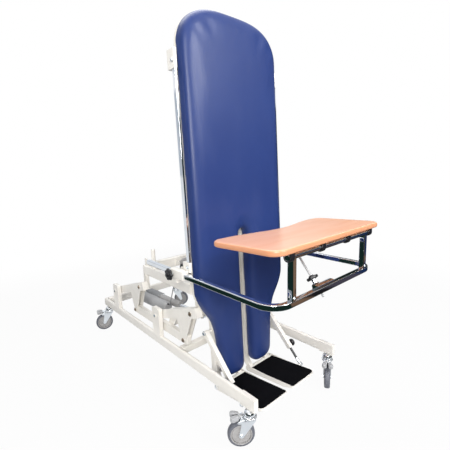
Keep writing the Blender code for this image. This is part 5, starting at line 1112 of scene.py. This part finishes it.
def make_workstation():
    section = rounded(-BAR_HALF, -BAR_HALF, BAR_HALF, BAR_HALF, 0.0042, 5)
    bar = swept(bar_path(), section)
    piece("bent_bar", bar, "chrome", "workstation", BASE, ("workstation_bar",), angle=30)
    ends = []
    for _, side in SIDES:
        rise = [(-0.001, 0), (0.0004, 0), (0.0014, 0.0008), (0.0018, 0.003)]
        plug = slab(rounded(-0.0118, -0.0118, 0.0118, 0.0118, 0.003, 4), rise)
        ends.append(placed(plug, facing((0, 1, 0), (side * BAR_X, 0.7690, BAR_Z))))
    piece("bar_end_plugs", joined(*ends), "black_plastic", "workstation", BASE)
    shells = []
    for _, side in SIDES:
        centre = side * UPRIGHT_X
        outline = rounded(centre - BAR_HALF, -0.172, centre + BAR_HALF, -0.145, 0.0042, 5)
        shells.append(slab(outline, [(0.7403, 0.0004), (0.7410, 0), (TRAY_TUBE[1], 0)]))
    profile = both_ways([(-0.318, 0.0108), (-0.3172, 0.0122), (-0.3155, 0.0125)])
    shells.append(placed(turned(profile, 40), facing((1, 0, 0), (0, *TRAY_TUBE))))
    stands_for = ("workstation_posts",)
    piece("uprights_and_tube", joined(*shells), "chrome", "workstation", BASE, stands_for, angle=30)
    spots = [((side * UPRIGHT_X, -0.1720, 0.752), (0, -1, 0)) for _, side in SIDES]
    bolts("upright_bolts", "workstation", spots, 0.0048, 0.0030, 0.0068)


def tray_outline():
    """Rounded corners in front, two horns and a shallow bay towards the person."""
    front, horn, middle = -0.025, 0.345, 0.293
    half, corner, rear, bay = 0.400, 0.055, 0.050, 0.318
    right = arc((half - corner, front + corner), corner, 270, 360, 14)
    right += arc((half - rear, horn - rear), rear, 0, 90, 14)
    for i in range(22):
        x = bay * (1 - i / 21)
        right.append((x, middle + (horn - middle) * (0.5 - 0.5 * math.cos(math.pi * x / bay))))
    return right + [(-x, y) for x, y in reversed(right[:-1])]


def make_tray():
    edge = 0.0088
    layers = []
    for t in (0, 18, 36, 54, 72, 90):
        turn = math.radians(t)
        layers.append((TRAY_UNDER + edge * (1 - math.cos(turn)), edge * (1 - math.sin(turn))))
    layers += [(TRAY_TOP + TRAY_UNDER - height, drawn) for height, drawn in reversed(layers)]
    piece("beech_top", slab(tray_outline(), layers), "beech", "tray", TRAY, ("tray_top",))
    make_tray_clips()
    make_prop_ears()


def make_tray_clips():
    """Saddles round the tube, each screwed to the tray behind it."""
    outer, inner, width = 0.0185, 0.0129, 0.022
    seat = TRAY_UNDER - 0.0002
    saddle = arc((0, 0), outer, 180, 360, 18) + [(outer, seat), (inner, seat)]
    saddle += arc((0, 0), inner, 360, 180, 18) + [(-inner, seat), (-outer, seat)]
    rise = [(TRAY_UNDER - 0.0035, 0.001), (TRAY_UNDER - 0.0028, 0), (seat, 0)]
    clips = []
    screws = []
    for x in (-0.306, -0.100, 0.100, 0.306):
        clips.append(placed(plate(saddle, x - width / 2, x + width / 2, 0.0008), ACROSS))
        clips.append(slab(rounded(x - width / 2, 0.013, x + width / 2, 0.036, 0.004, 4), rise))
        screws.append(((x, 0.0268, TRAY_UNDER - 0.0034), (0, 0, -1)))
    piece("tray_clips", joined(*clips), "black_plastic", "tray", TRAY)
    bolts("tray_screws", "tray", screws, 0.0036, 0.0022, 0.0048, place=TRAY)


def make_prop_ears():
    y, z = PROP_PIN
    root = TRAY_UNDER + 0.001
    outline = hull([((y, z), 0.0078), ((y - 0.011, root), 0.0028), ((y + 0.011, root), 0.0028)], 24)
    ears = []
    for low in (PROP_X - 0.0095, PROP_X + 0.0065):
        ears.append(placed(plate(outline, low, low + 0.003, 0.0006), ACROSS))
    foot = rounded(PROP_X - 0.020, y - 0.020, PROP_X + 0.020, y + 0.020, 0.005, 4)
    rise = [(TRAY_UNDER - 0.0022, 0.0008), (TRAY_UNDER - 0.0016, 0), (TRAY_UNDER - 0.0001, 0)]
    ears.append(slab(foot, rise))
    ears.append(round_pin(0.0118, 0.0034, 0.0040, 0.0006, 18, centre=(PROP_X, y, z)))
    piece("prop_ears", joined(*ears), "zinc", "tray", TRAY)


def make_prop():
    profile = [(-0.2950, 0.0030), (-0.2940, 0.0046), (-0.2925, 0.0050), (-0.0060, 0.0050), (-0.0060, 0.0)]
    eye = eye_ring(0.0040, 0.0046, 0.0082, 0.0090, 0.0006, 32)
    rod = joined(turned(profile, 28), eye)
    piece("prop_rod", rod, "grey_plastic", "prop_rod", PROP, ("tray_prop_rod",))
    profile = both_ways([(-0.0140, 0.0115), (-0.0132, 0.0126), (-0.0120, 0.0130)])
    barrel = placed(turned(profile, 36), facing((1, 0, 0)))
    section = [(0.004, 0.0060), (0.004, 0.0090), (0.0285, 0.0090), (0.0297, 0.0082), (0.0297, 0.0060)]
    collar = tyre(section, 32)
    pivot = round_pin(0.0220, 0.0040, 0.0049, 0.0008, 20)
    guide = joined(barrel, collar, pivot)
    piece("prop_barrel", guide, "chrome", "prop_guide", GUIDE, ("tray_prop_guide",))
    rise = [(0.0303, 0.0036), (0.0308, 0.0014), (0.0322, 0.0002)]
    rise += [(0.0400, 0), (0.0414, 0.0008), (0.0423, 0.0030)]
    star = slab(lobed(0.0277, 7, 0.0046, 8), rise)
    hub = turned([(0.0405, 0.0122), (0.0470, 0.0120), (0.0482, 0.0108), (0.0483, 0.0062)], 32)
    piece("prop_star", joined(star, hub), "black_plastic", "prop_clamp", GUIDE, ("tray_prop_knob",))


# Feet and struts

def foot_plan(side, margin, heel):
    """Outline of a footplate, drawn in by a margin, from its heel round the toe."""
    inner, outer = FOOT_INNER + margin, FOOT_OUTER - margin
    toe = FOOT_TOE + margin
    inside, outside = TOE_INSIDE - margin, TOE_OUTSIDE - margin
    outline = [(inner, heel)]
    outline += arc((inner + inside, toe + inside), inside, 180, 270, 8)
    outline += arc((outer - outside, toe + outside), outside, 270, 360, 8)
    outline += [(outer, heel)]
    return [(-x, y) for x, y in reversed(outline)] if side < 0 else outline


def mat_reach(y):
    """Inner and outer end of a rib across the mat at a distance from the hinge."""
    margin = 0.008
    inner, outer = FOOT_INNER + margin, FOOT_OUTER - margin
    inside, outside = TOE_INSIDE - margin / 2, TOE_OUTSIDE - margin / 2
    depth = y - FOOT_TOE - margin
    if depth < inside:
        inner += inside - math.sqrt(max(0.0, inside**2 - (inside - depth) ** 2))
    if depth < outside:
        outer -= outside - math.sqrt(max(0.0, outside**2 - (outside - depth) ** 2))
    return inner, outer


def make_mats():
    up = FOOT.to_3x3() @ Vector((0, 0, 1))
    layers = [(0.0063, 0.0004), (0.0067, 0), (0.0082, 0), (0.0088, 0.0005), (0.0090, 0.0012)]
    for name, side in SIDES:
        body = "foot_" + name
        mat = slab(foot_plan(side, 0.005, -0.026), layers)
        piece("mat_" + name, mat, "black_rubber", body, FOOT, ("foot_mat_" + name,))
        points, reaches = [], []
        for i in range(RIB_COUNT):
            y = RIB_FIRST - RIB_STEP * i
            inner, outer = mat_reach(y)
            points.append(FOOT @ Vector((side * (inner + outer) / 2, y, 0.0087)))
            reaches.append(outer - inner)
        ways = [up] * RIB_COUNT
        grown("mat_ribs_" + name, RIBS, points, ways, {"Radius": 0.0011}, "black_rubber", body, reaches)


def make_struts():
    foot = -STRUT_LENGTH + 0.0080
    for name, side in SIDES:
        body = "strut_ram_" + name
        place = STRUT @ Matrix.Translation((side * STRUT_X, 0, 0))
        rod = turned([(foot, 0.0), (foot, 0.0069), (-0.120, 0.0069), (-0.120, 0)], 32)
        piece("strut_slide_" + name, rod, "black_plastic", body, place, ("strut_rod_" + name,))
        ring = eye_ring(0.0069, 0.0078, 0.0116, 0.0125, 0.0009, 36)
        sleeve = turned([(0.0085, 0.0075), (0.0400, 0.0075), (0.0406, 0.0070)], 32)
        place = STRUT @ Matrix.Translation((side * STRUT_X, 0, -STRUT_LENGTH))
        piece("strut_eye_" + name, joined(ring, sleeve), "zinc", body, place)
        dressed("strut_tube_" + name, 0.0022)
        spots = [((side * (STRUT_X + 0.0130), 0, 0), (side, 0, 0))]
        bolts("strut_bolt_" + name, "board", spots, 0.0092, 0.0062, 0.0124, "blue_zinc", STRUT)


# Actuators and cable

def rounded_block(low, high, radius, edge):
    """A moulded housing along Z with rounded corners and edges."""
    outline = rounded(low[0], low[1], high[0], high[1], radius, 8)
    return slab(outline, broken(low[2], high[2], edge, 0.3))


def bored_block(low, high, radius, edge, bore):
    """A moulded housing with a round bore along Z."""
    outline = rounded(low[0], low[1], high[0], high[1], radius, 8)
    count = len(outline)
    hole = arc((0, 0), bore, 180, 180 + 360 * (count - 1) / count, count - 1)
    bottom, top = low[2], high[2]
    rings = []
    for height, drawn in ((bottom, edge), (bottom + edge, 0), (top - edge, 0), (top, edge)):
        rings.append([(x, y, height) for x, y in inset(outline, drawn)])
    rings.append([(x, y, top) for x, y in hole])
    rings.append([(x, y, bottom) for x, y in hole])
    return loft(rings, around=True)


def back_eye(radius, reach, neck):
    """Rear eye of an actuator: a boss across X that blends into a neck along -Y."""
    outline = hull([((0, 0), radius), ((-reach, 0), neck)], 36)
    return placed(plate(outline, -radius, radius, 0.0012), ACROSS)


def make_lift_actuator():
    to_front = facing((0, -1, 0))
    housing = placed(rounded_block((-0.040, -0.052, 0.050), (0.034, 0.030, 0.240), 0.026, 0.008), LAID)
    ridge = placed(rounded_block((-0.0412, -0.0532, 0.139), (0.0352, 0.0312, 0.146), 0.0270, 0.0012), LAID)
    case = joined(back_eye(0.014, 0.052, 0.018), housing, ridge)
    stands_for = ("lift_actuator_body",)
    piece("lift_housing", case, "dark_grey", "lift_actuator", LIFT, stands_for, angle=50)
    profile = [
        (0.215, 0.0260), (0.486, 0.0260), (0.490, 0.0270), (0.496, 0.0270), (0.4990, 0.0262),
        (0.5000, 0.0240), (0.5000, 0.0147),
    ]
    tube = placed(turned(profile, 48), to_front)
    piece("lift_spindle_tube", tube, "hub", "lift_actuator", LIFT)
    motor_line = Matrix.Translation((MOTOR_X, 0, MOTOR_DROP)) @ to_front
    profile = [
        (0.060, 0.0330), (0.064, 0.0372), (0.072, 0.0400), (0.250, 0.0400), (0.2515, 0.0390),
        (0.2550, 0.0390), (0.2565, 0.0400), (0.352, 0.0400), (0.352, 0.0),
    ]
    motor = placed(turned(profile, 56), motor_line)
    piece("lift_motor", motor, "actuator_grey", "lift_actuator", LIFT)
    profile = [
        (0.3522, 0.0392), (0.3530, 0.0404), (0.4050, 0.0402), (0.4180, 0.0384), (0.4262, 0.0340),
        (0.4300, 0.0270), (0.4300, 0),
    ]
    cap = placed(turned(profile, 56), motor_line)
    piece("lift_motor_cap", cap, "actuator_grey", "lift_actuator", LIFT)
    profile = [(0.380, 0.0139), (LIFT_LENGTH - 0.0110, 0.0139), (LIFT_LENGTH - 0.0100, 0.0130)]
    rod = placed(turned(profile, 40), to_front)
    eye = eye_ring(0.0142, 0.0112, 0.0150, 0.0160, 0.0010, 40, (0, -LIFT_LENGTH, 0))
    piece("lift_rod", joined(rod, eye), "chrome", "lift_ram", LIFT, ("lift_actuator_rod",))
    seams = [((x, -0.2398, z), (0, -1, 0)) for x in (-0.024, 0.020) for z in (-0.040, 0.018)]
    bolts("lift_housing_screws", "lift_actuator", seams, 0.0030, 0.0020, 0.0040, place=LIFT)


def make_tilt_actuator():
    to_front = facing((0, -1, 0))
    profile = [
        (0.028, 0.0190), (0.030, 0.0210), (0.318, 0.0210), (0.321, 0.0216), (0.327, 0.0216), (0.330, 0.0200),
        (0.330, 0.0106),
    ]
    tube = placed(turned(profile, 44), to_front)
    stands_for = ("tilt_actuator_body",)
    piece("tilt_spindle_tube", tube, "hub", "tilt_actuator", TILT, stands_for)
    block = bored_block((-0.027, -0.045, 0.220), (0.027, 0.026, 0.290), 0.013, 0.004, 0.0206)
    case = joined(back_eye(0.014, 0.040, 0.016), placed(block, LAID))
    piece("tilt_gear_case", case, "actuator_grey", "tilt_actuator", TILT, angle=50)
    profile = [
        (0, 0.0290), (0.006, 0.0330), (0.012, 0.0340), (0.104, 0.0340), (0.1052, 0.0332), (0.1070, 0.0332),
        (0.1082, 0.0340), (0.116, 0.0334), (0.1225, 0.0300), (0.1250, 0.0240), (0.1250, 0),
    ]
    motor = placed(turned(profile, 52), facing((0, -0.25, -1), (0, -0.255, -0.035)))
    piece("tilt_motor", motor, "actuator_grey", "tilt_actuator", TILT)
    profile = [(0.270, 0.0099), (TILT_LENGTH - 0.0150, 0.0099), (TILT_LENGTH - 0.0140, 0.0090)]
    rod = placed(turned(profile, 36), to_front)
    eye = eye_ring(0.0142, 0.0157, 0.0198, 0.0205, 0.0010, 40, (0, -TILT_LENGTH, 0))
    piece("tilt_rod", joined(rod, eye), "chrome", "tilt_ram", TILT, ("tilt_actuator_rod",))


CABLE_ROUTE = (
    (-0.062, 1.1207, 0.2674),
    (-0.062, 1.1128, 0.2678),
    (-0.062, 1.1028, 0.2682),
    (-0.078, 1.060, 0.292),
    (-0.094, 1.020, 0.343),
    (-0.100, 0.990, 0.398),
    (-0.100, 0.968, 0.448),
    (-0.080, 0.948, 0.505),
    (-0.040, 0.928, 0.552),
    (-0.008, 0.9232, 0.580),
    (0.000, 0.9271, 0.5931),
    (0.000, 0.9315, 0.6031),
)
CABLE_RADIUS = 0.0032


def make_cable():
    points = [BASE @ point for point in smooth_through(CABLE_ROUTE, 6)]
    length = sum((b - a).length for a, b in zip(points, points[1:]))
    run = tube_along(points, CABLE_RADIUS)
    made = piece("cable", run, "cable_grey", "lift_actuator", None, ("actuator_cable",), angle=60)
    profile = [(0.0006, 0.0064), (0.0015, 0.0068), (0.0080, 0.0056), (0.0180, 0.0042), (0.0184, 0.0033)]
    grommets = []
    for start, ahead in ((points[0], points[3]), (points[-1], points[-4])):
        grommets.append(placed(turned(profile, 24), facing(ahead - start, start)))
    whole = joined(*grommets)
    relief = piece("cable_grommets", whole, "black_plastic", "lift_actuator")


# Frame pieces: CAD shapes with broken edges, and their fasteners

def make_frame():
    edges = {
        0.0022: ("base_rail_left", "base_rail_right", "base_rear_member", "base_mid_member"),
        0.0010: ("crank_front", "crank_rear_left", "crank_rear_right"),
        0.0014: (
            "link_bar_left", "link_bar_right", "lift_rail_left", "lift_rail_right", "lift_rear_beam",
            "lift_front_beam",
        ),
        0.0012: ("board_frame", "board_hinge_tube"),
    }
    for width, nodes in edges.items():
        for node in nodes:
            dressed(node, width)
    for name, _ in SIDES:
        dressed("accessory_rail_" + name, 0.0016)
        dressed("hinge_bearing_" + name, 0.0010)
        dressed("footplate_" + name, 0.0010)
    dressed("tray_clamp_block", 0.0012)


PIVOT_BOLT_X, PIN_HEAD_X = 0.3305, 0.3030
BRACKET_BOLT_X, BRACKET_BOLT_Y = 0.3555, -0.0856
BRACKET_HEIGHTS = (0.025, 0.993)
FOOT_SHAFT_X, FOOT_PIN_X = 0.2225, 0.2490
BEARING_X, BEARING_TOP, BEARING_REACH = 0.315, 0.7160, 0.029


def crank_fasteners(label, body, side, y):
    """The bolt of a crank's pivot and the heads of its two pins, on one side."""
    way = (side, 0, 0)
    pivot = [((side * PIVOT_BOLT_X, y, LIFT_PIVOT[1]), way)]
    bolts("pivot_bolt_" + label, body, pivot, 0.0095, 0.0062, 0.0130, "blue_zinc")
    pins = []
    for dy, dz in (LINK_PIN, FRAME_PIN):
        pins.append(((side * PIN_HEAD_X, y + dy, LIFT_PIVOT[1] + dz), way))
    bolts("pin_heads_" + label, body, pins, 0.0085, 0.0050, 0.0125, "yellow")


def make_fasteners():
    for name, side in SIDES:
        crank_fasteners("front_" + name, "front_crank", side, LIFT_PIVOT[0])
    for name, side in SIDES:
        crank_fasteners("rear_" + name, "rear_crank_" + name, side, LIFT_PIVOT[0] + CRANK_SPACING)
    brackets = []
    for _, side in SIDES:
        for z in BRACKET_HEIGHTS:
            brackets.append(((side * BRACKET_BOLT_X, BRACKET_BOLT_Y, z), (side, 0, 0)))
    bolts("rail_bracket_bolts", "board", brackets, 0.0072, 0.0050, 0.0100, place=BOARD)
    feet = [((side * FOOT_SHAFT_X, *FOOT_HINGE), (side, 0, 0)) for _, side in SIDES]
    bolts("foot_shaft_nuts", "board", feet, 0.0090, 0.0060, 0.0120, place=BOARD)
    for name, side in SIDES:
        pin = [((side * FOOT_PIN_X, -STRUT_FOOT[0], STRUT_FOOT[1]), (side, 0, 0))]
        bolts("foot_pin_nut_" + name, "foot_" + name, pin, 0.0072, 0.0046, 0.0095, place=FOOT)
        bearing = []
        for dy in (-BEARING_REACH, BEARING_REACH):
            bearing.append(((side * BEARING_X, HINGE_Y + dy, BEARING_TOP), (0, 0, 1)))
        bolts("bearing_bolts_" + name, "lifting_frame", bearing, 0.0055, 0.0042, 0.0075)


# Stage: white floor and surround, soft lamps

def make_floor():
    """White to the camera, and coloured patches of a made-up room to polished metal."""
    mesh = bmesh.new()
    bmesh.ops.create_grid(mesh, x_segments=1, y_segments=1, size=40)
    floor = in_scene("floor", mesh)
    look = Look("pale_floor", rough=0.7, specular_ior_level=0.0)
    look.set((0.50, 0.50, 0.50))
    sideways = look.split("X")
    across = sideways.magnitude()
    along = look.split("Y")
    far = across.larger(along.magnitude()).step(2.0, 3.4)
    white = look.node("ShaderNodeEmission", {}, {"Color": (1, 1, 1), "Strength": 1.0})
    plain = Term(look, look.shader.outputs[0])
    share = look.ray("Is Camera Ray") * (far * 0.05 + 0.95)
    seen = look.node("ShaderNodeMixShader", {}, {0: share, 1: plain, 2: white})
    paper = (1 - across.step(0.45, 0.80)) * (1 - along.magnitude().step(1.0, 1.4))
    paper = paper.larger(along.step(1.35, 1.75))
    front = 1 - along.step(-1.5, -1.2)
    mirrored = look.mix(front * sideways.step(0.95, 1.05), (0.008, 0.022, 0.018), (0.170, 0.105, 0.070))
    mirrored = look.mix(front * sideways.step(1.25, 1.35), mirrored, (0.012, 0.012, 0.014))
    mirrored = look.mix(front * sideways.step(1.55, 1.75), mirrored, (0.062, 0.056, 0.078))
    mirrored = look.mix(front * sideways.step(2.20, 2.35), mirrored, (0.010, 0.028, 0.090))
    wood = (1 - along.step(-2.12, -2.02)) * sideways.step(1.0, 1.1) * (1 - sideways.step(2.9, 3.1))
    mirrored = look.mix(wood, mirrored, (0.190, 0.120, 0.080))
    mirrored = look.mix(paper, mirrored, (0.80, 0.82, 0.85))
    mirrored = look.node("ShaderNodeEmission", {}, {"Color": mirrored, "Strength": 1.0})
    whole = look.node("ShaderNodeMixShader", {}, {0: look.ray("Is Glossy Ray"), 1: seen, 2: mirrored})
    look.tree.links.new(whole.socket, look.tree.nodes["Material Output"].inputs["Surface"])
    floor.data.materials.append(look.material)


def make_world():
    """White to the camera. Polished metal sees a white room with dark screens round it."""
    world = bpy.data.worlds.new("studio")
    world.use_nodes = True
    bpy.context.scene.world = world
    tones = Tones(world.node_tree, "Generated")
    height = tones.split("Z")
    behind = tones.split("Y").step(0.45, 0.66)
    beside = 1 - tones.split("X").step(-0.78, -0.52)
    beside = beside * (1 - tones.split("Y").step(-0.35, -0.10)) * height.step(-0.25, 0.05)
    ceiling = height.step(0.46, 0.62)
    strip = height.step(0.20, 0.22) * (1 - height.step(0.25, 0.27))
    rear = tones.mix(tones.split("X").step(-0.35, 0.10), (0.50, 0.54, 0.60), (0.74, 0.78, 0.84))
    mirrored = tones.mix(behind, (0.012, 0.020, 0.018), rear)
    mirrored = tones.mix(beside, mirrored, (0.34, 0.36, 0.40))
    mirrored = tones.mix(ceiling.larger(strip), mirrored, (0.92, 0.93, 0.95))
    lit = tones.mix(tones.ray("Is Glossy Ray"), (0.40, 0.41, 0.43), mirrored)
    shown = tones.mix(tones.ray("Is Camera Ray"), lit, (1, 1, 1))
    background = world.node_tree.nodes["Background"]
    tones.feed(background.inputs["Color"], shown)
    background.inputs["Strength"].default_value = 1.0


def lamp(name, place, aim, size, power, tint=(1, 1, 1)):
    """A soft rectangular lamp that shines at a point."""
    data = bpy.data.lights.new(name, "AREA")
    data.shape = "RECTANGLE"
    data.size, data.size_y = size
    data.energy = power
    data.color = tint
    made = bpy.data.objects.new(name, data)
    bpy.context.scene.collection.objects.link(made)
    place, aim = BASE @ Vector(place), BASE @ Vector(aim)
    turn = (aim - place).to_track_quat("-Z", "Y").to_matrix().to_4x4()
    made.matrix_world = Matrix.Translation(place) @ turn


def make_stage():
    make_floor()
    make_world()
    lamp("key", (-2.9, -2.7, 2.5), (0, 0.6, 1.0), (1.7, 1.7), 194, (1.0, 0.99, 0.97))
    lamp("soft", (0.80, -2.20, 2.9), (0.0, 0.4, 1.7), (1.1, 1.1), 84, (0.97, 0.98, 1.0))
    lamp("top", (0.2, 1.4, 4.4), (0, 0.7, 0.5), (2.6, 2.6), 76)


def main():
    make_camera()
    make_cushion()
    make_panel()
    make_castors()
    make_socket_knobs()
    make_strut_knobs()
    make_workstation()
    make_tray()
    make_prop()
    make_mats()
    make_struts()
    make_lift_actuator()
    make_tilt_actuator()
    make_cable()
    make_frame()
    make_fasteners()
    make_stage()
    bpy.context.scene.view_settings.view_transform = "Standard"


main()
